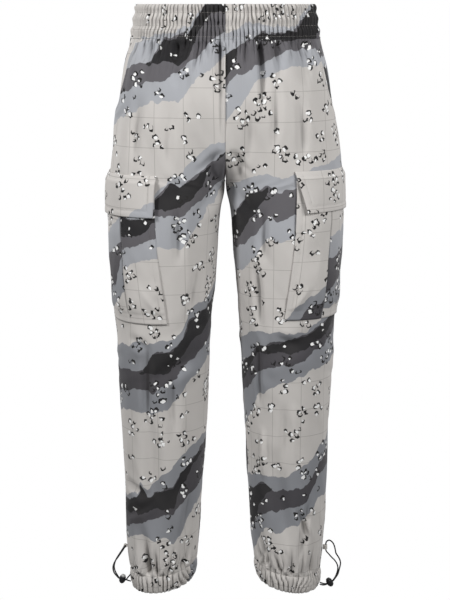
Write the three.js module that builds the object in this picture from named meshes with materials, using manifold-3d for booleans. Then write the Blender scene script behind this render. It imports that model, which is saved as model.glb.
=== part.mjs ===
// Cargo pants with an elastic gathered waistband, two bellows pockets with flaps and drawcord cuffs.
// They keep the hollow form they have when worn. Millimetres, +Z up, the front faces -Y.
// The origin is the middle of the waist opening, at the top of the waistband.
import * as THREE from 'three';
import { mergeVertices } from 'three/addons/utils/BufferGeometryUtils.js';
import Module from 'manifold-3d';

const wasm = await Module();
wasm.setup();

// Driving sizes
const seamGap = 0.3;
const clothThickness = 1.6;
const waistbandHeight = 57;
const cuffHeight = 30;
const hemLevel = -1031;
const hemSideTilt = 9.5;
const hemFrontTilt = 9;
const hemTiltStart = -850;
const riseStart = -232;
const crotchDrop = 70;
const legBlend = { top: -150, end: -430, seamReach: 0.07 };
const trunkCrowding = 0.12;
const cordDiameter = 2.5;

// Level sections of the right half: the width from the middle to the side and to the inner leg,
// the depth to the front and to the back, where the side seam runs, and how square the section is
const sections = namedRows(['z', 'outer', 'gap', 'front', 'back', 'seam', 'square'], [
  [0, 150.5, 0, 104, 104, 0, 2.1],
  [-57, 160.5, 0, 113, 113, 0, 2.15],
  [-110, 174.5, 0, 121, 126, 0, 2.3],
  [-175, 184, 0, 124, 136, 2, 2.5],
  [-250, 197, 0, 120, 134, 4, 2.5],
  [-302, 201.5, 0.5, 115, 124, 4, 2.4],
  [-350, 202, 8.3, 111, 113, 3, 2.25],
  [-400, 201, 13.3, 106, 105, 2, 2.2],
  [-450, 199, 17.8, 101.5, 98, 1, 2.2],
  [-500, 196, 21.6, 97, 92, 0, 2.2],
  [-550, 192.5, 25, 92.5, 88.5, 0, 2.2],
  [-600, 191.5, 28, 88, 86, 0, 2.2],
  [-700, 187, 33, 77.5, 83, 3, 2.15],
  [-800, 183.5, 38.4, 68.5, 81, 7, 2.1],
  [-900, 180.5, 44.5, 61, 78, 10, 2.1],
  [-975, 177.5, 51, 55, 74, 11, 2.1],
  [-1010, 172.5, 57, 49, 70, 11, 2.1],
  [-1050, 168.5, 60, 46, 67, 11, 2.1],
]);

// The largest folds, each along a line over the cloth. Side -1 is x below 0 and 0 is both sides.
// from and to are places round a half, 0 at the centre front, 0.5 at the side seam, 1 at the back.
// A positive depth is a trough. A hanging fold starts at its full depth, a free one fades both ways.
const folds = namedRows(['side', 'from', 'top', 'to', 'end', 'width', 'depth', 'hanging'], [
  [-1, 0.027, -57, 0.018, -165, 7, 7, true],
  [-1, 0.195, -57, 0.185, -135, 11, 8, true],
  [-1, 0.1, -57, 0.105, -118, 10, 6, true],
  [-1, 0.3, -57, 0.295, -145, 11, 6.5, true],
  [1, 0.144, -57, 0.15, -200, 11, 9, true],
  [1, 0.205, -57, 0.2, -125, 10, 7, true],
  [1, 0.075, -57, 0.08, -118, 9, 6, true],
  [1, 0.295, -57, 0.29, -145, 11, 6.5, true],
  [0, 0.02, -236, 0.125, -330, 12, 7, false],
  [0, 0.01, -292, 0.155, -352, 11, 6, false],
  [-1, 0.86, -57, 0.84, -160, 12, 8, true],
  [-1, 0.72, -57, 0.73, -130, 11, 7, true],
  [1, 0.82, -57, 0.85, -150, 12, 8, true],
  [1, 0.7, -57, 0.7, -135, 11, 7, true],
  [0, 0.93, -262, 0.8, -350, 13, 8, false],
  [0, 0.97, -300, 0.82, -392, 12, 7, false],
  [-1, 0.1, -585, 0.3, -640, 15, 6, false],
  [1, 0.14, -600, 0.34, -562, 15, 6, false],
  [0, 0.66, -590, 0.9, -545, 15, 7, false],
  [0, 0.62, -650, 0.88, -612, 14, 6, false],
  [-1, 0.3, -700, 0.27, -935, 14, 7.5, false],
  [1, 0.2, -760, 0.23, -950, 14, 6.5, false],
  [-1, 0.3, -1001, 0.36, -890, 11, 7.5, true],
  [1, 0.14, -1001, 0.08, -895, 11, 7.5, true],
  [1, 0.35, -1001, 0.37, -930, 10, 6, true],
  [-1, 0.16, -1001, 0.13, -930, 10, 6, true],
  [0, 0.68, -1001, 0.66, -910, 11, 7, true],
  [0, 0.86, -1001, 0.89, -920, 11, 7, true],
]);
// A hanging fold is shallow where it is sewn down and reaches its depth this far along it
const sewnShare = 0.3;
const sewnLength = 16;

// Columns of the panels, as shares of the way from the centre seam to the side seam
const frontColumns = [0, 0.035, 0.07, 0.14, 0.22, 0.28, 0.34, 0.41, 0.49, 0.58, 0.68, 0.78, 0.86, 0.93, 1];
const backColumns = [0, 0.1, 0.19, 0.28, 0.36, 0.45, 0.56, 0.67, 0.78, 0.89, 1];
const panelRows = [
  -76, -100, -128, -158, -176, -190, -214, -236, -257, -274, -288, -297, -302, -315, -345, -390, -440,
  -495, -545, -590, -640, -700, -765, -830, -890, -940, -976,
];

// Places of the slanted hip pocket's edge, as the distance along the cloth from the side seam
const hipPocketEdge = namedRows(['z', 'reach'], [
  [-57, 62], [-85, 52], [-120, 50], [-150, 44], [-172, 30], [-190, 0],
]);
const hipPocketEnd = -190;
const hipPocketLift = 2.2;
const hipPocketLiftFlat = 18;
const hipPocketLiftReach = 50;
const facingUnderlap = 12;
const facingSink = 1.1;

// Cargo pockets: reaches are distances along the cloth, towards the front, from the side seam
const pocket = {
  frontReach: 152, backReach: -22, pleatReach: 85, top: 294, bottom: 533, seat: 0.65, rise: 1.8,
  pleatStep: 1.1,
};
const flap = {
  frontReach: 155, backReach: -25, top: 278, bottom: 347.5, spread: 1, lift: 5,
};
const pocketDrop = { left: 4, right: -4 };
const flapSlant = { left: 5, right: 19 };
const flapCornerLift = { left: 1.5, right: 6 };

// Rows of the gathered bands: how far down, how far out, and the height of the gathers there
const waistbandRows = namedRows(['down', 'swell', 'wave'], [
  [0, 0, 0.6], [7, 1.5, 1.5], [16.5, -0.4, 0.5], [28, 1.8, 1.8], [39, -0.3, 0.5], [48, 1.6, 1.6],
  [57, 0.2, 0.8],
]);
const cuffRows = namedRows(['down', 'swell', 'wave'], [
  [0, 0, 1], [6, 1.2, 1.8], [16, 1.6, 2.2], [26, 1, 2], [30, 0, 1.4],
]);
const waistbandGathersPerHalf = 56;
const cuffGathers = 40;
const bandThickness = 2.8;

// The drawcord through each cuff: x is the distance from the middle of the garment
const cordRoute = {
  left: [
    [173.2, -10.5, -1019.5], [177.6, -9.2, -1025.4], [182.9, -7.45, -1031.6], [188.2, -7.45, -1030.1],
    [193.5, -7.45, -1028.6], [199.1, -4.4, -1024.5], [203.8, -1, -1019.3], [205.8, 2, -1012.5],
    [205, 4, -1006.9], [201.5, 5.2, -999.4], [196.1, 5.4, -991.7], [190, 4.6, -982.4],
    [185.7, 3.9, -975.6], [183.7, 5.8, -972.3], [183.4, 9, -972], [183.4, 13, -972],
    [183.7, 16.4, -972.3], [185.4, 18.4, -975.4], [189.6, 17, -982.4], [195.6, 13, -990.7],
    [200.4, 9.9, -998.2], [203.3, 8, -1006], [203.8, 5.8, -1012], [201.8, 2.7, -1018.6],
    [198, -0.9, -1024.2], [193.5, -4.55, -1028.6], [188.2, -4.55, -1030.1], [182.9, -4.55, -1031.6],
    [178, -5, -1033.3], [172.9, -5.6, -1034.5],
  ],
  right: [
    [172.2, -15, -1037], [178.5, -11.5, -1039.6], [185.8, -7.45, -1039.4], [190.6, -7.45, -1036.7],
    [195.4, -7.45, -1034], [200.95, -3.4, -1028.9], [205.5, -0.5, -1022.8], [207.8, 2, -1015.6],
    [209.5, 4, -1010], [210.6, 6, -1004.4], [209.5, 7.5, -998.7], [206.4, 8.5, -992.7],
    [202.4, 9.5, -986.4], [200.8, 10, -979.2], [198.8, 10.5, -971.6], [194.8, 11, -965],
    [189.4, 11, -962], [184.9, 11, -964.6], [183.4, 11, -970], [183.4, 11, -979],
    [185.2, 11, -983.8], [188.9, 10.7, -988], [194.4, 10.2, -994.3], [200.2, 9.7, -1000.2],
    [204.2, 9, -1006.5], [205.9, 7.4, -1012.2], [205.4, 5.2, -1017.8], [203.3, 2.7, -1024],
    [199.7, -0.6, -1030.2], [195.4, -4.55, -1034], [190.6, -4.55, -1036.7], [185.8, -4.55, -1039.4],
    [179.3, -6.8, -1038.8], [172.4, -9, -1035.6],
  ],
};
const cordSteps = 50;
const cordLock = {
  left: { place: [188.2, -6, -1030.1], turn: 15.4 },
  right: { place: [190.6, -6, -1036.7], turn: 29.4 },
};
const cordTab = {
  left: { level: -972, width: 8, upright: false },
  right: { level: -974.5, width: 9, upright: true },
};
const tabHole = { x: 183.4, y: 11, clearance: 0.45, tape: 1.2 };
const strandSpacing = 2.9;

const sides = [['left', -1], ['right', 1]];

function namedRows(names, rows) {
  return rows.map((row) => Object.fromEntries(names.map((name, i) => [name, row[i]])));
}

// A smooth value from a table whose z runs downwards
function smoothValue(table, name, z) {
  const last = table.length - 1;
  const at = THREE.MathUtils.clamp(z, table[last].z, table[0].z);
  let i = 0;
  while (i < last - 1 && at < table[i + 1].z) i += 1;
  const slope = (k) => {
    const low = Math.max(k - 1, 0);
    const high = Math.min(k + 1, last);
    return (table[high][name] - table[low][name]) / (table[high].z - table[low].z);
  };
  const span = table[i + 1].z - table[i].z;
  const t = (at - table[i].z) / span;
  return (
    table[i][name] * (2 * t ** 3 - 3 * t ** 2 + 1) + slope(i) * span * (t ** 3 - 2 * t ** 2 + t)
    + table[i + 1][name] * (3 * t ** 2 - 2 * t ** 3) + slope(i + 1) * span * (t ** 3 - t ** 2)
  );
}

function sectionAt(z) {
  return Object.fromEntries(
    Object.keys(sections[0]).map((name) => [name, smoothValue(sections, name, z)]),
  );
}

const easeBetween = (from, to, value) => {
  const t = THREE.MathUtils.clamp((value - from) / (to - from), 0, 1);
  return t * t * (3 - 2 * t);
};

// How far the section at this level has turned from half a trunk into a leg's ring
function legShare(place, z) {
  const drop = THREE.MathUtils.clamp((riseStart - z) / crotchDrop, 0, 1);
  const atSeam = 1 - Math.sqrt(Math.max(0, 1 - drop * drop));
  const away = easeBetween(legBlend.top, legBlend.end, z);
  const nearSeam = Math.exp(-((Math.min(place, 1 - place) / legBlend.seamReach) ** 2));
  return THREE.MathUtils.lerp(away, atSeam, nearSeam);
}

function roundedDirection(angle, square) {
  const c = Math.cos(angle);
  const s = Math.sin(angle);
  const radius = (Math.abs(c) ** square + Math.abs(s) ** square) ** (-1 / square);
  return [c * radius, s * radius];
}

// A point of the smooth right half. place runs round it from the centre front to the centre back
function smoothPoint(place, level) {
  const leg = 2 * Math.PI * place;
  const tilt = easeBetween(hemTiltStart, hemLevel, level);
  const z = level + tilt * (hemSideTilt * Math.cos(leg) - hemFrontTilt * Math.sin(leg));
  const s = sectionAt(z);
  const trunk = Math.PI * place - trunkCrowding * Math.sin(leg);
  const [trunkDepth, trunkWidth] = roundedDirection(trunk, s.square);
  const [ringWidth, ringDepth] = roundedDirection(leg, s.square);
  const depth = (share) => (share > 0 ? s.front + s.seam : s.back - s.seam) * share;
  const w = legShare(place, level);
  const ringX = (s.outer + s.gap) / 2 - ((s.outer - s.gap) / 2) * ringWidth;
  return new THREE.Vector3(
    THREE.MathUtils.lerp(s.outer * trunkWidth, ringX, w),
    s.seam - THREE.MathUtils.lerp(depth(trunkDepth), depth(ringDepth), w),
    z,
  );
}

function smoothNormal(place, level) {
  const along = smoothPoint(Math.min(place + 0.002, 1), level)
    .sub(smoothPoint(Math.max(place - 0.002, 0), level));
  const down = smoothPoint(place, level - 0.4).sub(smoothPoint(place, level + 0.4));
  return down.cross(along).normalize();
}

// Length of cloth for one whole turn of place at this level
function turnLength(level) {
  const s = sectionAt(level);
  const depth = (s.front + s.back) / 2;
  const trunk = (Math.PI / 2) * (s.outer + depth);
  const ring = Math.PI * ((s.outer - s.gap) / 2 + depth);
  return THREE.MathUtils.lerp(trunk, ring, easeBetween(legBlend.top, riseStart - 2 * crotchDrop, level));
}

function foldHeight(side, place, level) {
  const turn = turnLength(level);
  let height = 0;
  for (const fold of folds) {
    if (fold.side !== 0 && fold.side !== side) continue;
    const along = (fold.to - fold.from) * turn;
    const down = fold.end - fold.top;
    const across = (place - fold.from) * turn;
    const t = (across * along + (level - fold.top) * down) / (along ** 2 + down ** 2);
    if (t < 0 || t > 1) continue;
    const distance = (across * down - (level - fold.top) * along) / Math.hypot(along, down);
    const opened = THREE.MathUtils.lerp(sewnShare, 1, easeBetween(0, sewnLength, t * Math.abs(down)));
    const strength = fold.hanging ? opened * (1 - t) : Math.sin(Math.PI * t);
    height -= fold.depth * strength * Math.exp(-((distance / fold.width) ** 2));
  }
  return height;
}

// Distances along the cloth from the side seam, as a place round the half
function placeAtReach(reach, level) {
  const step = reach > 0 ? -0.004 : 0.004;
  let place = 0.5;
  let walked = 0;
  let from = smoothPoint(place, level);
  while (walked < Math.abs(reach)) {
    const to = smoothPoint(place + step, level);
    const length = to.distanceTo(from);
    if (walked + length >= Math.abs(reach)) return place + step * ((Math.abs(reach) - walked) / length);
    walked += length;
    place += step;
    from = to;
  }
  return place;
}

const reachOfHipEdge = (level) => Math.max(smoothValue(hipPocketEdge, 'reach', level), 0);

// The front stands a little proud along the slanted pocket's edge
function hipEdgeLift(place, level) {
  if (place > 0.5 || level < hipPocketEnd - 60) return 0;
  const reach = (0.5 - place) * turnLength(level);
  const past = reach - reachOfHipEdge(level);
  const across = 1 - easeBetween(hipPocketLiftFlat, hipPocketLiftReach, past);
  return hipPocketLift * across * easeBetween(hipPocketEnd - 60, hipPocketEnd - 12, level);
}

// A point of the cloth on one side, moved out from it by height
function clothPoint(side, place, level, height) {
  const point = smoothPoint(place, level).addScaledVector(smoothNormal(place, level), height);
  point.x = Math.max(point.x, seamGap / 2) * side;
  return point;
}

function panelHeight(side, place, level) {
  return foldHeight(side, place, level) + hipEdgeLift(place, level);
}

// Triangles between two rows of points, each given as indices from one end to the other
function zip(first, second, faces) {
  let i = 0;
  let j = 0;
  while (i < first.length - 1 || j < second.length - 1) {
    const nextFirst = i < first.length - 1 ? (i + 1) / (first.length - 1) : Infinity;
    const nextSecond = j < second.length - 1 ? (j + 1) / (second.length - 1) : Infinity;
    if (nextFirst <= nextSecond) {
      faces.push(first[i], second[j], first[i + 1]);
      i += 1;
    } else {
      faces.push(first[i], second[j], second[j + 1]);
      j += 1;
    }
  }
}

function signedVolume(points, faces) {
  let volume = 0;
  for (let i = 0; i < faces.length; i += 3) {
    const [a, b, c] = [points[faces[i]], points[faces[i + 1]], points[faces[i + 2]]];
    volume += a.dot(new THREE.Vector3().crossVectors(b, c)) / 6;
  }
  return volume;
}

// A closed wall between an outer and an inner grid of points, as a sheet or as a whole ring
function wall(outer, inner, ring) {
  const points = [...outer.flat(), ...inner.flat()];
  const outerAt = outer.map((row, i) => row.map((_, j) => i * row.length + j));
  const start = outer.length * outer[0].length;
  const innerAt = inner.map((row, i) => row.map((_, j) => start + i * row.length + j));
  if (ring) [...outerAt, ...innerAt].forEach((row) => row.push(row[0]));
  const faces = [];
  for (let i = 0; i < outerAt.length - 1; i += 1) zip(outerAt[i], outerAt[i + 1], faces);
  for (let i = 0; i < innerAt.length - 1; i += 1) zip(innerAt[i + 1], innerAt[i], faces);
  zip(innerAt[0], outerAt[0], faces);
  zip(outerAt.at(-1), innerAt.at(-1), faces);
  if (!ring) {
    const column = (grid, end) => grid.map((row) => row.at(end));
    zip(column(outerAt, 0), column(innerAt, 0), faces);
    zip(column(innerAt, -1), column(outerAt, -1), faces);
  }
  if (signedVolume(points, faces) < 0) faces.reverse();
  const geometry = new THREE.BufferGeometry().setFromPoints(points);
  geometry.setIndex(faces);
  geometry.computeVertexNormals();
  return geometry;
}

// A sheet of cloth over the rows of levels. places gives a row's places and height lifts a point
function sheet(side, levels, places, height, thickness = clothThickness) {
  const grid = (inward) => levels.map((level) => places(level).map((place) => (
    clothPoint(side, place, level, height(place, level) - inward)
  )));
  return wall(grid(0), grid(thickness), false);
}

// Half of the seam's gap as a share of the turn
const gapShare = (level) => seamGap / 2 / turnLength(level);
const panelLevels = () => [
  -waistbandHeight - seamGap, ...panelRows, hemLevel + cuffHeight + seamGap,
];
const spread = (from, to, shares) => shares.map((share) => THREE.MathUtils.lerp(from, to, share));

function frontPanel(side) {
  const places = (level) => {
    const reach = level > hipPocketEnd ? reachOfHipEdge(level) : 0;
    const edge = Math.min(placeAtReach(reach, level), 0.5 - gapShare(level));
    return spread(gapShare(level), edge, frontColumns);
  };
  return sheet(side, panelLevels(), places, (place, level) => panelHeight(side, place, level));
}

function backPanel(side) {
  const places = (level) => spread(1 - gapShare(level), 0.5 + gapShare(level), backColumns);
  return sheet(side, panelLevels(), places, (place, level) => panelHeight(side, place, level));
}

function hipFacing(side) {
  const levels = [-waistbandHeight - seamGap, -75, -95, -118, -142, -165, -178, hipPocketEnd];
  const shares = [0, 0.2, 0.4, 0.6, 0.8, 1];
  const places = (level) => {
    const reach = reachOfHipEdge(level) + facingUnderlap;
    return spread(0.5 - gapShare(level), placeAtReach(reach, level), shares);
  };
  const height = (place, level) => {
    const past = (0.5 - place) * turnLength(level) - reachOfHipEdge(level);
    return -facingSink * Math.max(easeBetween(-14, 0, past), easeBetween(-155, -172, level));
  };
  return sheet(side, levels, places, height);
}

function bandWall(side, levelAt, rows, from, to, gathers, evenness, ring) {
  const count = gathers * 2;
  const ends = ring ? count : count + 1;
  const outer = rows.map((row) => Array.from({ length: ends }, (_, k) => {
    const place = THREE.MathUtils.lerp(from, to, k / count);
    const wave = row.wave * (k % 2 ? -1 : 1) * evenness(k, place);
    return clothPoint(side, place, levelAt(row.down), row.swell + wave);
  }));
  const innerCount = Math.round(count / 3);
  const innerEnds = ring ? innerCount : innerCount + 1;
  const inner = [rows[0], rows.at(-1)].map((row) => Array.from({ length: innerEnds }, (_, k) => {
    const place = THREE.MathUtils.lerp(from, to, k / innerCount);
    return clothPoint(side, place, levelAt(row.down), -bandThickness);
  }));
  return wall(outer, inner, ring);
}

// Gathers differ a little in height, and lie flat beside the centre front seam
function waistband(side) {
  const flatUntil = side > 0 ? 0.035 : 0.012;
  const evenness = (k, place) => (
    easeBetween(0.004, flatUntil, place) * (0.8 + 0.2 * Math.sin(k * 0.9 + side))
  );
  const end = 1 - gapShare(0);
  return bandWall(
    side, (down) => -down, waistbandRows, gapShare(0), end, waistbandGathersPerHalf, evenness, false,
  );
}

function cuff(side) {
  const top = hemLevel + cuffHeight;
  const evenness = (k) => 0.82 + 0.18 * Math.sin(k * 1.3 + 2 * side);
  return bandWall(side, (down) => top - down, cuffRows, 0, 1, cuffGathers, evenness, true);
}

// How far the pocket's cloth stands off the leg, across it from back to front and down it
function pocketHeight(reach, down) {
  const across = (reach - pocket.backReach) / (pocket.frontReach - pocket.backReach);
  const belly = Math.sqrt(Math.max(0, Math.sin(Math.PI * THREE.MathUtils.clamp(across, 0, 1))));
  const sewn = 1 - easeBetween(0.8, 1, down);
  const step = reach > pocket.pleatReach ? pocket.pleatStep : 0;
  return pocket.seat + (pocket.rise * belly + step * (1 - easeBetween(0.85, 1, across))) * sewn;
}

function cargoPocket(name, side) {
  const drop = pocketDrop[name];
  const levels = [0, 0.1, 0.23, 0.37, 0.51, 0.65, 0.77, 0.88, 0.95, 1]
    .map((share) => -THREE.MathUtils.lerp(pocket.top, pocket.bottom, share) - drop);
  const reaches = [
    pocket.backReach, -12, 2, 16, 30, 44, 58, 72, pocket.pleatReach - 1, pocket.pleatReach + 1, 102,
    119, 136, pocket.frontReach,
  ];
  const grid = (inward) => levels.map((level) => reaches.map((reach) => {
    const down = (-level - drop - pocket.top) / (pocket.bottom - pocket.top);
    const height = pocketHeight(reach, down) + clothThickness - inward;
    return clothPoint(side, placeAtReach(reach, level), level, height);
  }));
  return wall(grid(0), grid(clothThickness), false);
}

function cargoFlap(name, side) {
  const drop = pocketDrop[name];
  const shares = [0, 0.1, 0.2, 0.36, 0.55, 0.78, 1];
  const across = [0, 0.07, 0.15, 0.23, 0.31, 0.39, 0.47, 0.55, 0.63, 0.71, 0.79, 0.87, 0.94, 1];
  const grid = (inward) => shares.map((share) => across.map((part) => {
    const level = -THREE.MathUtils.lerp(flap.top, flap.bottom, share) - drop;
    const front = flap.frontReach - flapSlant[name] * share;
    const reach = THREE.MathUtils.lerp(flap.backReach, front, part);
    const free = easeBetween(0, 0.2, share);
    const corner = flapCornerLift[name] * share * easeBetween(0.75, 1, part);
    const rest = pocket.seat + (flap.lift - pocket.seat) * free;
    const height = rest + flap.spread * share * free + corner + clothThickness - inward;
    return clothPoint(side, placeAtReach(reach, level), level, height);
  }));
  return wall(grid(0), grid(clothThickness), false);
}

// A loop of folded tape on the side seam. The cord runs through its hole
function tab(name, side) {
  const { level, width, upright } = cordTab[name];
  const holeRadius = cordDiameter / 2 + tabHole.clearance;
  const loopRadius = holeRadius + tabHole.tape;
  const foot = sectionAt(level).outer + seamGap;
  const hole = tabHole.x - foot;
  const neck = tabHole.tape;
  const meet = Math.asin(neck / loopRadius);
  const outline = new THREE.Shape();
  outline.moveTo(0, -neck);
  outline.absarc(hole, 0, loopRadius, Math.PI + meet, 3 * Math.PI - meet, false);
  outline.lineTo(0, neck);
  outline.closePath();
  const opening = new THREE.Path();
  opening.absarc(hole, 0, holeRadius, 0, 2 * Math.PI, true);
  outline.holes.push(opening);
  const geometry = new THREE.ExtrudeGeometry(outline, {
    depth: width, bevelEnabled: false, curveSegments: 9,
  });
  geometry.translate(0, 0, -width / 2);
  if (!upright) geometry.rotateX(Math.PI / 2);
  if (side < 0) geometry.rotateZ(Math.PI);
  geometry.translate(foot * side, tabHole.y, level);
  return geometry;
}

function drawcord(name, side) {
  const points = cordRoute[name].map(([x, y, z]) => new THREE.Vector3(x * side, y, z));
  const section = new THREE.Shape();
  const corners = 8;
  for (let k = 0; k < corners; k += 1) {
    const angle = (2 * Math.PI * k) / corners;
    const x = (Math.cos(angle) * cordDiameter) / 2;
    const y = (Math.sin(angle) * cordDiameter) / 2;
    if (k === 0) section.moveTo(x, y);
    else section.lineTo(x, y);
  }
  section.closePath();
  return new THREE.ExtrudeGeometry(section, {
    extrudePath: new THREE.CatmullRomCurve3(points, false, 'centripetal'),
    steps: cordSteps,
    bevelEnabled: false,
  });
}

function toSolid(geometry) {
  const bare = geometry.clone();
  ['normal', 'uv'].forEach((name) => bare.deleteAttribute(name));
  const merged = mergeVertices(bare, 1e-4);
  const mesh = new wasm.Mesh({
    numProp: 3,
    vertProperties: new Float32Array(merged.attributes.position.array),
    triVerts: new Uint32Array(merged.index.array),
  });
  return new wasm.Manifold(mesh);
}

function toGeometry(solid) {
  const { vertProperties, triVerts } = solid.getMesh();
  const geometry = new THREE.BufferGeometry();
  geometry.setAttribute('position', new THREE.BufferAttribute(vertProperties, 3));
  geometry.setIndex(new THREE.BufferAttribute(triVerts, 1));
  geometry.computeVertexNormals();
  return geometry;
}

// The passage through a cord lock, along X, for two strands side by side
function strandPassage() {
  const radius = cordDiameter / 2 + tabHole.clearance;
  const apart = strandSpacing / 2;
  const length = 16;
  const outline = new THREE.Shape();
  outline.absarc(apart, 0, radius, -Math.PI / 2, Math.PI / 2, false);
  outline.absarc(-apart, 0, radius, Math.PI / 2, 1.5 * Math.PI, false);
  outline.closePath();
  const passage = new THREE.ExtrudeGeometry(outline, {
    depth: length, bevelEnabled: false, curveSegments: 6,
  });
  passage.translate(0, 0, -length / 2);
  passage.rotateY(Math.PI / 2);
  return toSolid(passage);
}

// Turned profiles of the lock, as radius and height: the barrel and the button that slides in it
const barrelProfile = [
  [0, -8.5], [1.8, -8.2], [3.6, -6.8], [5.2, -4.6], [5.6, -2], [5.6, 4.4], [5, 5.6], [4.4, 5.6], [4.4, -3.6],
  [0, -3.6],
];
const buttonProfile = [[0, -3.3], [4.1, -3.3], [4.1, 7.6], [3.3, 8.6], [0, 8.8]];

function lockPart(profile) {
  const points = profile.map(([radius, height]) => new THREE.Vector2(radius, height));
  return toGeometry(toSolid(new THREE.LatheGeometry(points, 14)).subtract(strandPassage()));
}

function placeLock(mesh, name, side) {
  const { place, turn } = cordLock[name];
  const angle = THREE.MathUtils.degToRad(turn);
  mesh.position.set(place[0] * side, place[1], place[2]);
  mesh.rotation.x = Math.PI / 2;
  mesh.rotation.order = 'YXZ';
  mesh.rotation.y = -angle * side;
}

const cloth = new THREE.MeshStandardMaterial({ color: 0xcfcbc6, roughness: 0.9 });
const elasticCord = new THREE.MeshStandardMaterial({ color: 0x232325, roughness: 0.8 });
const darkPlastic = new THREE.MeshStandardMaterial({ color: 0x1c1c1e, roughness: 0.45 });
const greyPlastic = new THREE.MeshStandardMaterial({ color: 0xb9b9b7, roughness: 0.45 });

const pants = new THREE.Group();
pants.name = 'cargo_pants';

function add(name, geometry, material) {
  const mesh = new THREE.Mesh(geometry, material);
  mesh.name = name;
  pants.add(mesh);
  return mesh;
}

for (const [name, side] of sides) {
  add(`waistband_${name}`, waistband(side), cloth);
  add(`front_${name}`, frontPanel(side), cloth);
  add(`back_${name}`, backPanel(side), cloth);
  add(`hip_facing_${name}`, hipFacing(side), cloth);
  add(`cargo_pocket_${name}`, cargoPocket(name, side), cloth);
  add(`cargo_flap_${name}`, cargoFlap(name, side), cloth);
  add(`cuff_${name}`, cuff(side), cloth);
  add(`cord_tab_${name}`, tab(name, side), cloth);
  add(`drawcord_${name}`, drawcord(name, side), elasticCord);
  placeLock(add(`cord_lock_${name}`, lockPart(barrelProfile), darkPlastic), name, side);
  const buttonMaterial = name === 'left' ? greyPlastic : darkPlastic;
  placeLock(add(`lock_button_${name}`, lockPart(buttonProfile), buttonMaterial), name, side);
}

export default pants;
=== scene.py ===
# Cargo pants in printed cotton twill, filled out as worn, with the origin at the waist.
# Sizes below are in millimetres until a mesh is made. Left is x below 0, as the front view shows it.
import math

import bmesh
import bpy
import numpy as np
from mathutils import Matrix, Vector


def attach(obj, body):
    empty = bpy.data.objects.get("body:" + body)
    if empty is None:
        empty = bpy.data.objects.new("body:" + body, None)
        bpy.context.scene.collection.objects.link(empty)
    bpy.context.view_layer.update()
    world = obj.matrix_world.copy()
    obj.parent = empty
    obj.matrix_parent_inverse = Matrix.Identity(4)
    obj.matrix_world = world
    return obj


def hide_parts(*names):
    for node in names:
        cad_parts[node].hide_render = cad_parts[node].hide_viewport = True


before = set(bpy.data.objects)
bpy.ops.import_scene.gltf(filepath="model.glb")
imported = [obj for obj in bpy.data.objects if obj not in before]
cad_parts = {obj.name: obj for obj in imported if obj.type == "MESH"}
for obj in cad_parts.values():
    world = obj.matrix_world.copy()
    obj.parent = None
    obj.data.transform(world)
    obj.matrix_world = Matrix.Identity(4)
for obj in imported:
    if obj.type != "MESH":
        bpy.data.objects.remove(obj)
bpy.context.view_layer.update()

mm = 0.001
sides = {"left": -1, "right": 1}
print("frame loaded:", len(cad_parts), "nodes")


# Small helpers
def ease(start, end, value):
    t = np.clip((value - start) / (end - start), 0, 1)
    return t * t * (3 - 2 * t)


def mix(a, b, t):
    return a + (b - a) * t


def bump(distance, width):
    return np.exp(-((distance / width) ** 2))


def noise(x, y, seed):
    # smooth value noise from -1 to 1, one lump per unit, the same on every run
    table = np.random.RandomState(seed).uniform(-1, 1, (64, 64))
    x, y = np.broadcast_arrays(np.asarray(x, float), np.asarray(y, float))
    column, row = np.floor(x).astype(int), np.floor(y).astype(int)
    tx, ty = x - column, y - row
    tx, ty = tx * tx * (3 - 2 * tx), ty * ty * (3 - 2 * ty)
    a, b = table[row % 64, column % 64], table[row % 64, (column + 1) % 64]
    c, d = table[(row + 1) % 64, column % 64], table[(row + 1) % 64, (column + 1) % 64]
    return mix(mix(a, b, tx), mix(c, d, tx), ty)


def hexColor(code, alpha=1.0):
    # sRGB hex to linear
    parts = [int(code[i:i + 2], 16) / 255 for i in (1, 3, 5)]
    return [c / 12.92 if c <= 0.04045 else ((c + 0.055) / 1.055) ** 2.4 for c in parts] + [alpha]


def addNode(tree, kind, links=None, **settings):
    made = tree.nodes.new(kind)
    for name, value in settings.items():
        setattr(made, name, value)
    for socket, value in (links or {}).items():
        if isinstance(value, bpy.types.NodeSocket):
            tree.links.new(value, made.inputs[socket])
        else:
            made.inputs[socket].default_value = value
    return made


# The camera stands at waist height and looks down at the knees
camera = {"place": (-0.0009, -2.6, -0.007), "tilt": 11.0, "lens": 90.06, "sensor": 36.0}


def makeCamera():
    data = bpy.data.cameras.new("camera")
    data.sensor_width = camera["sensor"]
    data.lens = camera["lens"]
    eye = bpy.data.objects.new("camera", data)
    eye.location = camera["place"]
    eye.rotation_euler = (math.radians(90 - camera["tilt"]), 0, 0)
    bpy.context.collection.objects.link(eye)
    bpy.context.scene.camera = eye


makeCamera()

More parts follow.
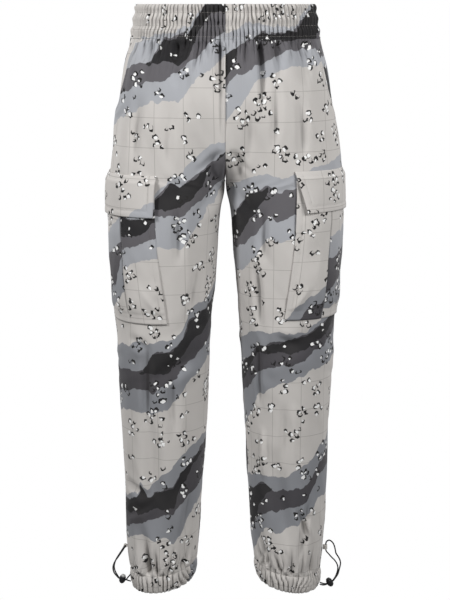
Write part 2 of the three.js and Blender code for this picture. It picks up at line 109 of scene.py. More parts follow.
# The garment's form: level sections of the right half, the same as the solids have
form = {
    "seamGap": 0.3, "waistbandHeight": 57, "cuffHeight": 30, "hemLevel": -1031, "hemSideTilt": 9.5,
    "hemFrontTilt": 9, "hemTiltStart": -850, "riseStart": -232, "crotchDrop": 70, "blendTop": -150,
    "blendEnd": -430, "seamReach": 0.07, "trunkCrowding": 0.12, "thighTouch": 2.3, "touchEnd": -336,
}
sectionNames = ["z", "outer", "gap", "front", "back", "seam", "square"]
sectionRows = np.array([
    [0, 150.5, 0, 104, 104, 0, 2.1],
    [-57, 160.5, 0, 113, 113, 0, 2.15],
    [-110, 174.5, 0, 121, 126, 0, 2.3],
    [-175, 184, 0, 124, 136, 2, 2.5],
    [-250, 197, 0, 120, 134, 4, 2.5],
    [-302, 201.5, 0.5, 115, 124, 4, 2.4],
    [-350, 202, 8.3, 111, 113, 3, 2.25],
    [-400, 201, 13.3, 106, 105, 2, 2.2],
    [-450, 199, 17.8, 101.5, 98, 1, 2.2],
    [-500, 196, 21.6, 97, 92, 0, 2.2],
    [-550, 192.5, 25, 92.5, 88.5, 0, 2.2],
    [-600, 191.5, 28, 88, 86, 0, 2.2],
    [-700, 187, 33, 77.5, 83, 3, 2.15],
    [-800, 183.5, 38.4, 68.5, 81, 7, 2.1],
    [-900, 180.5, 44.5, 61, 78, 10, 2.1],
    [-975, 177.5, 51, 55, 74, 11, 2.1],
    [-1010, 172.5, 57, 49, 70, 11, 2.1],
    [-1050, 168.5, 60, 46, 67, 11, 2.1],
])


def smoothRows(rows, z):
    # a smooth line through a table whose first column runs downwards
    levels = rows[:, 0]
    last = len(levels) - 1
    z = np.clip(z, levels[-1], levels[0])
    i = np.clip(np.searchsorted(-levels, -z, side="right") - 1, 0, last - 1)
    low = np.maximum(np.arange(last + 1) - 1, 0)
    high = np.minimum(np.arange(last + 1) + 1, last)
    slopes = (rows[high] - rows[low]) / (levels[high] - levels[low])[:, None]
    span = (levels[i + 1] - levels[i])[..., None]
    t = (z - levels[i])[..., None] / span
    return (
        rows[i] * (2 * t ** 3 - 3 * t ** 2 + 1) + slopes[i] * span * (t ** 3 - 2 * t ** 2 + t)
        + rows[i + 1] * (3 * t ** 2 - 2 * t ** 3) + slopes[i + 1] * span * (t ** 3 - t ** 2)
    )


def sectionAt(z):
    values = smoothRows(sectionRows, np.asarray(z, float))
    return {name: values[..., k] for k, name in enumerate(sectionNames)}


def legShare(place, level):
    # how far the section has turned from half a trunk into a leg's ring
    drop = np.clip((form["riseStart"] - level) / form["crotchDrop"], 0, 1)
    atSeam = 1 - np.sqrt(np.maximum(0, 1 - drop * drop))
    away = ease(form["blendTop"], form["blendEnd"], level)
    return mix(away, atSeam, bump(np.minimum(place, 1 - place), form["seamReach"]))


def roundedDirection(angle, square):
    c, s = np.cos(angle), np.sin(angle)
    radius = (np.abs(c) ** square + np.abs(s) ** square) ** (-1 / square)
    return c * radius, s * radius


def smoothPoints(place, level):
    # place runs round the half from the centre front, 0, over the side seam, 0.5, to the back, 1
    place, level = np.broadcast_arrays(np.asarray(place, float), np.asarray(level, float))
    leg = 2 * np.pi * place
    tilt = ease(form["hemTiltStart"], form["hemLevel"], level)
    z = level + tilt * (form["hemSideTilt"] * np.cos(leg) - form["hemFrontTilt"] * np.sin(leg))
    s = sectionAt(z)
    trunkDepth, trunkWidth = roundedDirection(np.pi * place - form["trunkCrowding"] * np.sin(leg), s["square"])
    ringWidth, ringDepth = roundedDirection(leg, s["square"])
    w = legShare(place, level)

    def depth(share):
        return np.where(share > 0, s["front"] + s["seam"], s["back"] - s["seam"]) * share

    ringX = (s["outer"] + s["gap"]) / 2 - (s["outer"] - s["gap"]) / 2 * ringWidth
    x = mix(s["outer"] * trunkWidth, ringX, w)
    y = s["seam"] - mix(depth(trunkDepth), depth(ringDepth), w)
    return np.stack([x, y, z], axis=-1)


def clothPoints(side, place, level, height):
    place, level = np.broadcast_arrays(np.asarray(place, float), np.asarray(level, float))
    along = smoothPoints(np.minimum(place + 0.002, 1), level) - smoothPoints(np.maximum(place - 0.002, 0), level)
    down = smoothPoints(place, level - 0.4) - smoothPoints(place, level + 0.4)
    normal = np.cross(down, along)
    normal /= np.linalg.norm(normal, axis=-1, keepdims=True)
    points = smoothPoints(place, level) + normal * np.asarray(height, float)[..., None]
    # the halves meet in the middle plane, and the thighs touch down to the gap between the legs
    touching = form["thighTouch"] * ease(form["touchEnd"], form["touchEnd"] + 45, level)
    x = points[..., 0] - touching * (1 - ease(4, 18, points[..., 0]))
    points[..., 0] = np.maximum(x, 0.01) * side
    return points


def turnLength(level):
    # length of cloth for one whole turn of place
    s = sectionAt(level)
    depth = (s["front"] + s["back"]) / 2
    trunk = np.pi / 2 * (s["outer"] + depth)
    ring = np.pi * ((s["outer"] - s["gap"]) / 2 + depth)
    return mix(trunk, ring, ease(form["blendTop"], form["riseStart"] - 2 * form["crotchDrop"], level))


# Distances along the cloth from the centre front, tabled once over levels and places
arcLevels = np.arange(4, -1064, -4.0)
arcPlaces = np.linspace(0, 1, 481)
arcPoints = smoothPoints(arcPlaces[None, :], arcLevels[:, None])
arcTable = np.concatenate([
    np.zeros((len(arcLevels), 1)),
    np.cumsum(np.linalg.norm(np.diff(arcPoints, axis=1), axis=-1), axis=1),
], axis=1)
plumbX = 110  # the printed lines run straight down the cloth here
half = len(arcPlaces) // 2
frontPlumb = np.array([
    np.interp(plumbX, points[:half, 0], arcs[:half]) for points, arcs in zip(arcPoints, arcTable)
])
backPlumb = np.array([
    np.interp(-plumbX, -points[half:, 0], arcs[half:]) for points, arcs in zip(arcPoints, arcTable)
])


def atLevel(table, level):
    return np.interp(-np.asarray(level, float), -arcLevels, table)


def arcAt(place, level):
    row = np.clip((arcLevels[0] - level) / 4, 0, len(arcLevels) - 1.001)
    column = np.clip(place, 0, 1) * (len(arcPlaces) - 1.001)
    i, j = np.floor(row).astype(int), np.floor(column).astype(int)
    u, v = row - i, column - j
    top = mix(arcTable[i, j], arcTable[i, j + 1], v)
    return mix(top, mix(arcTable[i + 1, j], arcTable[i + 1, j + 1], v), u)


def placesAtReach(reaches, level):
    # places at distances along the cloth from the side seam, positive towards the front
    places = np.linspace(0, 1, 961)
    arcs = arcAt(places, np.full(961, float(level)))
    return np.interp(arcs[480] - np.asarray(reaches, float), arcs, places)


# The main creases, as in the solids: a line over the cloth, its width and its depth
foldRows = [
    # side, from, top, to, end, width, depth, hanging
    (-1, 0.027, -57, 0.018, -165, 6, 7, True),
    (-1, 0.195, -57, 0.185, -135, 10, 8, True),
    (-1, 0.1, -57, 0.105, -118, 9, 6, True),
    (-1, 0.3, -57, 0.295, -145, 10, 6.5, True),
    (1, 0.144, -57, 0.15, -200, 10, 9, True),
    (1, 0.205, -57, 0.2, -125, 9, 7, True),
    (1, 0.075, -57, 0.08, -118, 8, 6, True),
    (1, 0.295, -57, 0.29, -145, 10, 6.5, True),
    (-1, 0.02, -236, 0.125, -330, 12, 5, False),
    (1, 0.02, -236, 0.125, -330, 12, 4, False),
    (-1, 0.01, -292, 0.155, -352, 11, 5, False),
    (1, 0.01, -292, 0.155, -352, 11, 4, False),
    (-1, 0.86, -57, 0.84, -160, 12, 8, True),
    (-1, 0.72, -57, 0.73, -130, 11, 7, True),
    (1, 0.82, -57, 0.85, -150, 12, 8, True),
    (1, 0.7, -57, 0.7, -135, 11, 7, True),
    (0, 0.93, -262, 0.8, -350, 13, 8, False),
    (0, 0.97, -300, 0.82, -392, 12, 7, False),
    (-1, 0.1, -585, 0.3, -640, 15, 6, False),
    (1, 0.14, -600, 0.34, -562, 15, 6, False),
    (0, 0.66, -590, 0.9, -545, 15, 7, False),
    (0, 0.62, -650, 0.88, -612, 14, 6, False),
    (-1, 0.3, -700, 0.27, -935, 14, 7.5, False),
    (1, 0.2, -760, 0.23, -950, 14, 6.5, False),
    (-1, 0.3, -1001, 0.36, -890, 11, 7.5, True),
    (1, 0.14, -1001, 0.08, -895, 11, 7.5, True),
    (1, 0.35, -1001, 0.37, -930, 10, 6, True),
    (-1, 0.16, -1001, 0.13, -930, 10, 6, True),
    (0, 0.68, -1001, 0.66, -910, 11, 7, True),
    (0, 0.86, -1001, 0.89, -920, 11, 7, True),
]
sewn = {"share": 0.3, "length": 16}
# Finer creases than the solids have, read off the photo, with ridges where the depth is below 0
creaseRows = [
    # side, from, top, to, end, width, depth, hanging
    (-1, 0.03, -57, 0.022, -151, 3.5, 4.5, True), (-1, 0.012, -58, 0.01, -223, 4, -2.2, False),
    (-1, 0.166, -57, 0.136, -158, 7, 4, True), (-1, 0.118, -57, 0.118, -118, 4, 3.2, True),
    (-1, 0.198, -57, 0.184, -103, 4, 4, True), (-1, 0.264, -57, 0.252, -104, 4, 3.2, True),
    (-1, 0.334, -58, 0.318, -102, 4, 3.2, True), (-1, 0.082, -57, 0.074, -94, 3.5, 3, True),
    (-1, 0.3, -149, 0.316, -269, 9, 2.6, False), (-1, 0.194, -155, 0.218, -279, 10, 2.4, False),
    (-1, 0.012, -240, 0.138, -278, 6, 1.8, False), (-1, 0.014, -264, 0.12, -328, 7, 1.6, False),
    (-1, 0.2, -330, 0.2, -438, 9, 3, False), (-1, 0.132, -431, 0.158, -549, 10, 2.6, False),
    (-1, 0.368, -562, 0.282, -586, 8, 2.6, False), (-1, 0.298, -573, 0.31, -729, 7, 4, False),
    (-1, 0.216, -604, 0.2, -748, 9, 2.8, False), (-1, 0.43, -832, 0.298, -860, 8, 3.6, False),
    (-1, 0.44, -900, 0.274, -865, 6, 3.6, False), (-1, 0.122, -829, 0.152, -939, 8, 2.8, False),
    (-1, 0.318, -1000, 0.318, -925, 5, 6.5, True), (-1, 0.366, -999, 0.364, -945, 6, -4, True),
    (-1, 0.272, -1000, 0.278, -940, 4, 4.4, True), (-1, 0.22, -1000, 0.188, -946, 4, 3.6, True),
    (-1, 0.148, -1001, 0.104, -947, 5, 3.6, True), (-1, 0.446, -1001, 0.45, -950, 4, 3.4, True),
    (1, 0.142, -57, 0.13, -184, 4, 6.5, True), (1, 0.21, -57, 0.192, -100, 3.5, 4.4, True),
    (1, 0.184, -110, 0.178, -234, 7, 2.8, False), (1, 0.174, -57, 0.17, -94, 4, -2.6, True),
    (1, 0.266, -57, 0.246, -101, 4, 3.4, True), (1, 0.33, -57, 0.32, -92, 4, 3.4, True),
    (1, 0.044, -57, 0.05, -93, 3.5, 2.8, True), (1, 0.09, -57, 0.076, -97, 3.5, 2.8, True),
    (1, 0.258, -148, 0.268, -255, 9, 2.6, False), (1, 0.09, -155, 0.098, -263, 10, 2.2, False),
    (1, 0.012, -236, 0.124, -281, 6, 1.4, False), (1, 0.01, -267, 0.11, -334, 7, 1.2, False),
    (1, 0.172, -335, 0.17, -435, 9, 3.4, False), (1, 0.148, -430, 0.152, -546, 7, 3.4, False),
    (1, 0.194, -554, 0.292, -582, 8, 2.6, False), (1, 0.142, -561, 0.14, -696, 6, 3, False),
    (1, 0.15, -728, 0.15, -826, 6, -2.8, False), (1, 0.24, -673, 0.232, -803, 9, 2.6, False),
    (1, 0.282, -875, 0.342, -937, 5, 4, False), (1, 0.338, -859, 0.298, -971, 6, 3, False),
    (1, 0.094, -945, 0.162, -1020, 5, -4.5, False), (1, 0.114, -1001, 0.122, -959, 4, 5, True),
    (1, 0.214, -1001, 0.174, -955, 4, 5, True), (1, 0.258, -1001, 0.262, -942, 4, 3.6, True),
    (1, 0.308, -1001, 0.32, -943, 4, 3.6, True), (1, 0.372, -1000, 0.36, -953, 4, 3.2, True),
]


def foldHeight(side, place, level):
    turn = turnLength(level)
    height = np.zeros(np.shape(level))
    for k, (foldSide, start, top, to, end, width, depth, hanging) in enumerate(foldRows + creaseRows):
        if foldSide not in (0, side):
            continue
        main = k < len(foldRows)
        depth = depth * (1.3 if main else 1.8)
        along, down = (to - start) * turn, end - top
        across = (place - start) * turn
        t = (across * along + (level - top) * down) / (along ** 2 + down ** 2)
        distance = (across * down - (level - top) * along) / np.hypot(along, down)
        opened = mix(sewn["share"], 1, ease(0, sewn["length"], t * abs(down))) if main else 1
        strength = opened * (1 - t) if hanging else np.sin(np.pi * np.clip(t, 0, 1))
        inside = (t >= 0) & (t <= 1)
        # the cloth swells beside each fold
        beside = bump(distance - 1.7 * width, width) + bump(distance + 1.7 * width, width)
        shape = bump(distance, width) - 0.26 * beside
        height -= np.where(inside, depth * strength * shape, 0)
    return height


# Gathers: rounded ridges with narrow valleys, uneven in pitch, height and length
gathers = {
    "bandPitch": 6.8, "cuffPitch": 9.4,
    # pitch, height, shortest and longest reach down from the waistband or up from the cuff
    "waist": [(11.5, 2.0, 14, 52), (23, 3.0, 30, 80)],
    "ankle": [(17, 2.4, 14, 36), (36, 2.8, 28, 74)],
}


def ridges(along, pitch, seed, slant=0.0):
    phase = along / pitch + 0.45 * noise(along / (pitch * 3.1), slant, seed)
    return np.abs(np.sin(np.pi * phase)) ** 0.8 - 0.6


def gatherWave(arc, down, pitch, seed, lean):
    tier = noise(arc / 16, down / 16, seed + 9) * 0.24
    slant = noise(arc / 40, down / 30, seed + 12) * lean
    wave = ridges(arc + pitch * (tier + slant), pitch, seed, 0.5)
    fine = ridges(arc + 3, pitch * 0.52, seed + 3, down / 90) * 0.42
    return (wave + fine) * (1 + 0.35 * noise(arc / 11, down / 26, seed + 17))


def runThrough(arc, down, away, pitch, seed, lean):
    # the gathers of the waistband or the cuff where they run on into the panel
    length = mix(9, 48, (0.5 + 0.5 * noise(arc / 9, 3.5, seed + 40)) ** 1.5)
    return 3.0 * gatherWave(arc, down, pitch, seed, lean) * np.exp(-((away / length) ** 1.4))


def gatherHeight(along, away, rows, seed):
    # away is the distance from the seam that gathers the cloth
    height = 0
    for k, (pitch, size, short, long) in enumerate(rows):
        length = mix(short, long, (0.5 + 0.5 * noise(along / (pitch * 1.3), 3.5 + k, seed + 40)) ** 1.5)
        strength = 1 + 0.5 * noise(along / (pitch * 2.3), 9.5 + k, seed + 60)
        wave = ridges(along + away * 0.12 * noise(along / 60, 1.5, seed + 5), pitch, seed + k, away / 60)
        begin = mix(0.35, 1, ease(0, short, away))
        height = height + size * strength * begin * wave * np.exp(-((away / length) ** 1.4))
    return height


# The slanted hip pocket edge and its lift over the facing
hipPocket = {
    "end": -190, "lift": {-1: 3.6, 1: 1.0}, "flat": 18, "reach": 50, "underlap": 12, "sink": {-1: 3.0, 1: 1.2},
}
hipEdgeRows = np.array([[-57, 62], [-85, 52], [-120, 50], [-150, 44], [-172, 30], [-190, 0]], float)


def hipEdgeReach(level):
    return np.maximum(smoothRows(hipEdgeRows, np.asarray(level, float))[..., 1], 0)


def hipEdgeLift(side, place, level):
    past = (0.5 - place) * turnLength(level) - hipEdgeReach(level)
    across = 1 - ease(hipPocket["flat"], hipPocket["reach"], past)
    fade = ease(hipPocket["end"] - 60, hipPocket["end"] - 12, level)
    return np.where((place <= 0.5) & (level > hipPocket["end"] - 60), hipPocket["lift"][side] * across * fade, 0)


def wrinkleHeight(side, place, level, arc):
    # slow unevenness of worn cloth, drawn out along the legs
    seed = 300 + side
    soft = 1.7 * noise(arc / 46, level / 120, seed) + 0.9 * noise(arc / 21, level / 60, seed + 2)
    slanted = 0.8 * noise((arc + side * level * 0.45) / 17, (level - arc * 0.5) / 62, seed + 4)
    knee = bump(level + 600, 70) * 1.3 * noise((level + arc * 0.35) / 15, (arc - level * 0.3) / 70, seed + 6)
    return (soft + slanted + knee) * ease(-62, -120, level) * ease(-996, -950, level)


def seamGroove(distance, depth=1.3, width=2.2):
    return -depth * bump(distance, width)


def panelHeight(side, place, level):
    arc = arcAt(place, level)
    turn = turnLength(level)
    band = place * turnLength(-57.0)
    ankle = place * turnLength(-1001.0)
    height = foldHeight(side, place, level) + hipEdgeLift(side, place, level)
    height = height + gatherHeight(band, -57 - level, gathers["waist"], 20 + side) * ease(0, 14, band)
    height = height + gatherHeight(ankle, level + 1001, gathers["ankle"], 80 + side)
    flatUntil = 0.035 if side > 0 else 0.012
    band, ankle = place * turnLength(-20.0), place * turnLength(-1015.0)
    through = runThrough(band, -level, -57 - level, gathers["bandPitch"], 140 + side, 0.3)
    height = height + through * ease(0.003, flatUntil, place)
    height = height + runThrough(ankle, -1001 - level, level + 1001, gathers["cuffPitch"], 180 + side, 1.0)
    height = height + wrinkleHeight(side, place, level, arc)
    centre = np.minimum(place, 1 - place) * turn
    height = height + seamGroove(centre) + seamGroove((place - 0.5) * turn)
    height = height - 5 * bump(centre, 9) * ease(-205, -262, level) * ease(-420, -300, level)
    height = height + 0.35 * noise(level / 5.5, 0.5, 7) * bump(centre - 4, 5)
    height = height + 0.35 * noise(level / 6.5, 2.5, 8) * bump((place - 0.5) * turn, 6)
    # at both ends the panel takes the height of the waistband or cuff that it is sewn to
    bandEnd = 3.6 * gatherWave(band, 57.0, gathers["bandPitch"], 140 + side, 0.3) * ease(0.003, flatUntil, place)
    cuffEnd = 2.16 * gatherWave(ankle, 0.0, gathers["cuffPitch"], 180 + side, 1.0) - 0.6
    height = mix(bandEnd, height, ease(0, 9, -57 - level))
    height = mix(cuffEnd, height, ease(0, 9, level + 1001))
    return height + seamGroove(level + 57.3, 0.15, 1.2) + seamGroove(level + 1000.7, 0.7, 1.8)


# The print: desert camouflage in greys, in slanting bands of tones. A band's rows are spots over the
# cloth: distance right, distance down to the top of its black, and how far each tone runs there:
# light above, then black, dark and light below. Black under 0 is missing. On the right front the black at the leg's
# inner edge is drawn long over painted shade
printAndShadeBands = {
    "frontLeft": [
        [(-90, 112, 36, -16, 38, 42), (-17, 96, 39, 5, 27, 33), (10, 57, 14, 33, 32, 37), (33, 54, 10, 45, 8, 55),
         (53, 42, 8, 42, 8, 38), (66, 33, 7, 22, 29, 32), (109, 0, 7, 13, 29, 44)],
        [(-90, 366, 20, -10, 40, 40), (-10, 322, 7, 14, 14, 50), (18, 294, 10, 44, 13, 53),
         (34, 302, 26, 33, 15, 57), (61, 281, 32, 31, 19, 43), (75, 275, 38, 20, 30, 34), (89, 262, 34, 5, 50, 21),
         (107, 245, 20, 2, 54, 31)],
        [(-95, 628, 44, -14, 40, 34), (-34, 622, 50, 4, 30, 42), (-16, 592, 24, 34, 35, 40),
         (12, 585, 16, 42, 18, 44), (37, 569, 16, 27, 24, 39), (52, 534, 20, 38, 36, 28), (105, 508, 18, 31, 32, 36)],
        [(-90, 872, 8, 20, 32, 17), (-50, 862, 10, 28, 16, 24), (-41, 836, 6, 52, 16, 25), (-30, 858, 14, 24, 18, 28),
         (19, 836, 40, 40, 11, 52), (30, 816, 34, 25, 28, 62), (60, 787, 28, 12, 49, 30), (95, 770, 16, 8, 56, 24)],
    ],
    "frontRight": [
        [(-112, 85, 36, 38, 14, 60), (-103, 77, 28, 32, 18, 57), (-92, 68, 16, -6, 44, 57),
         (-70, 52, 10, -8, 54, 32), (-60, 46, 8, 12, 40, 24), (-2, 42, 6, 20, 14, 27), (72, 4, 7, 40, 26, 28)],
        [(-150, 368, 60, 28, 17, 43), (-105, 345, 47, 44, 19, 44), (-84, 318, 30, 48, 34, 41),
         (-60, 306, 25, 32, 38, 40), (-40, 303, 24, 12, 40, 34), (-25, 311, 28, -12, 47, 34), (60, 290, 26, -10, 44, 44)],
        [(-112, 618, 45, 36, 20, 62), (-73, 598, 42, 13, 38, 51), (-59, 581, 28, 12, 35, 40),
         (-38, 575, 23, 16, 25, 38), (27, 561, 9, 25, 18, 26), (43, 548, 9, 25, 13, 31), (110, 520, 14, 18, 20, 50)],
        # the first two spots draw the black long at the inner edge: the print's black, and painted shade below it
        # beside the other leg
        [(-112, 864, 30, 112, 6, 58), (-96, 856, 28, 74, 6, 58), (-74, 849, 26, 67, 6, 57), (-53, 835, 21, 39, 20, 33),
         (-39, 836, 19, 14, 36, 30),
         (-22, 848, 26, -8, 35, 40), (35, 839, 42, -12, 27, 29), (63, 801, 38, -12, 20, 42), (100, 770, 24, -12, 34, 56)],
    ],
    "backLeft": [
        [(-120, 152, 24, 36, 30, 50), (0, 76, 27, 43, 27, 45), (110, 25, 30, 50, 24, 40)],
        [(-100, 374, 20, 52, 12, 44), (0, 325, 27, 30, 29, 47), (110, 314, 34, 8, 46, 50)],
        [(-90, 635, 26, 30, 34, 50), (0, 621, 25, 38, 28, 43), (90, 543, 24, 46, 22, 36)],
        [(-90, 883, 22, 44, 22, 40), (0, 834, 25, 31, 29, 44), (90, 811, 28, 18, 36, 48)],
    ],
    "backRight": [
        [(-110, 107, 28, 46, 26, 44), (0, 85, 25, 38, 30, 48), (120, 5, 22, 30, 34, 52)],
        [(-110, 365, 30, 14, 40, 52), (0, 336, 26, 31, 28, 46), (100, 256, 22, 48, 16, 40)],
        [(-90, 642, 24, 44, 24, 40), (0, 588, 27, 35, 28, 43), (90, 577, 30, 26, 32, 46)],
        [(-90, 869, 26, 22, 34, 46), (0, 850, 23, 35, 29, 43), (90, 766, 20, 48, 24, 40)],
    ],
    "waistbandLeft": [
        [(-150, 74, 16, -14, 30, 40), (-107, 60, 12, 15, 26, 40), (-62, 46, 12, 18, 22, 44),
         (-50, 21, 6, 30, 30, 40), (-30, -12, 6, 30, 38, 40), (0, -14, 6, 26, 36, 24)],
        [(-420, 60, 20, 34, 24, 30), (-330, -6, 20, 26, 24, 30)],
    ],
    "waistbandRight": [
        [(0, 92, 42, -12, 30, 60), (30, 75, 44, -14, 40, 50), (57, 50, 18, 16, 24, 40), (118, 45, 6, 22, 20, 30),
         (140, 24, 10, 40, 22, 30), (185, -10, 8, 50, 24, 30)],
        [(270, 59, 20, 22, 26, 34), (380, -14, 24, 36, 20, 30)],
    ],
    "pocketFrontLeft": [
        [(85, 350, 12, 36, 26, 26), (109, 356, 15, 28, 18, 28), (129, 356, 18, 26, 15, 28), (152, 344, 12, 18, 26, 34)],
    ],
    "pocketRearLeft": [
        [(-22, 448, 40, -16, 60, 36), (59, 416, 43, -16, 60, 28), (85, 398, 43, -16, 24, 56)],
    ],
    "pocketFrontRight": [
        [(-152, 566, 37, -16, 6, 20), (-113, 511, 26, -16, 36, 27), (-85, 495, 23, -16, 46, 27)],
    ],
    "pocketRearRight": [
        [(-91, 430, 42, -16, 60, 24), (-40, 414, 38, -16, 44, 50), (22, 396, 34, -16, 44, 60)],
    ],
    "flapLeft": [
        [(96, 374, 16, -16, -10, 17), (126, 373, 37, -16, -10, 17), (155, 372, 49, -16, -10, 17)],
    ],
    "flapRight": [],
    "facingLeft": [],
    "facingRight": [
        [(-40, 60, 20, -16, 46, 40), (60, 46, 20, -16, 46, 60)],
    ],
    "cuffLeft": [
        [(62, 1058, 8, -16, -10, 4), (74, 1034, 42, -16, -10, 20), (120, 1020, 60, -16, -10, 30)],
    ],
    "cuffRight": [
        [(150, 1048, 24, 14, 20, 30), (230, 1002, 24, 20, 20, 30)],
    ],
}


def bandFields(name, right, down):
    # how deep each point lies inside the black, dark and light tones, in mm, below 0 outside them
    fields = np.full(np.shape(right) + (3,), -90.0)
    for k, rows in enumerate(printAndShadeBands[name]):
        spots = np.array(rows, float)
        seed = 500 + 10 * k + 3 * sorted(printAndShadeBands).index(name)
        top, above, black, dark, below = (np.interp(right, spots[:, 0], spots[:, i]) for i in range(1, 6))
        slopes = np.diff(spots[:, 1]) / np.diff(spots[:, 0])
        top = top + np.maximum(right - spots[-1, 0], 0) * slopes[-1] + np.minimum(right - spots[0, 0], 0) * slopes[0]
        top = top + 2.5 * noise(right / 21, 1.5, seed)
        darkTop = top + np.maximum(black, 0)
        darkEnd = darkTop + dark + 2.5 * noise(right / 19, 5.5, seed)
        lightEnd = np.maximum(darkEnd, darkTop) + below + 3.5 * noise(right / 23, 7.5, seed)
        lightTop = top - above + 3.5 * noise(right / 23, 3.5, seed)
        found = np.stack([
            black / 2 - np.abs(down - top - black / 2),
            np.minimum(down - top + 2, darkEnd - down),
            np.minimum(down - lightTop, lightEnd - down),
        ], axis=-1)
        fields = np.maximum(fields, found)
    return fields


# Cloth colours and sizes of the print and the weave, in mm
printedTwill = {
    "ground": "#ccc8c4", "light": "#acaeb3", "dark": "#646266", "black": "#272628",
    "lightLow": "#8c8e93", "darkLow": "#4a484c", "deepens": (410, 540),
    "chipWhite": "#fbfbfa", "chipBlack": "#1f1e1f", "line": "#97938f",
    "edgeLump": 19, "edgeDepth": 8, "edgeGrain": 6, "grid": 50, "lineWidth": 0.9,
    "pebble": 10.6, "cluster": 41, "clusterReach": (4.5, 16), "threadPitch": 1.1,
}


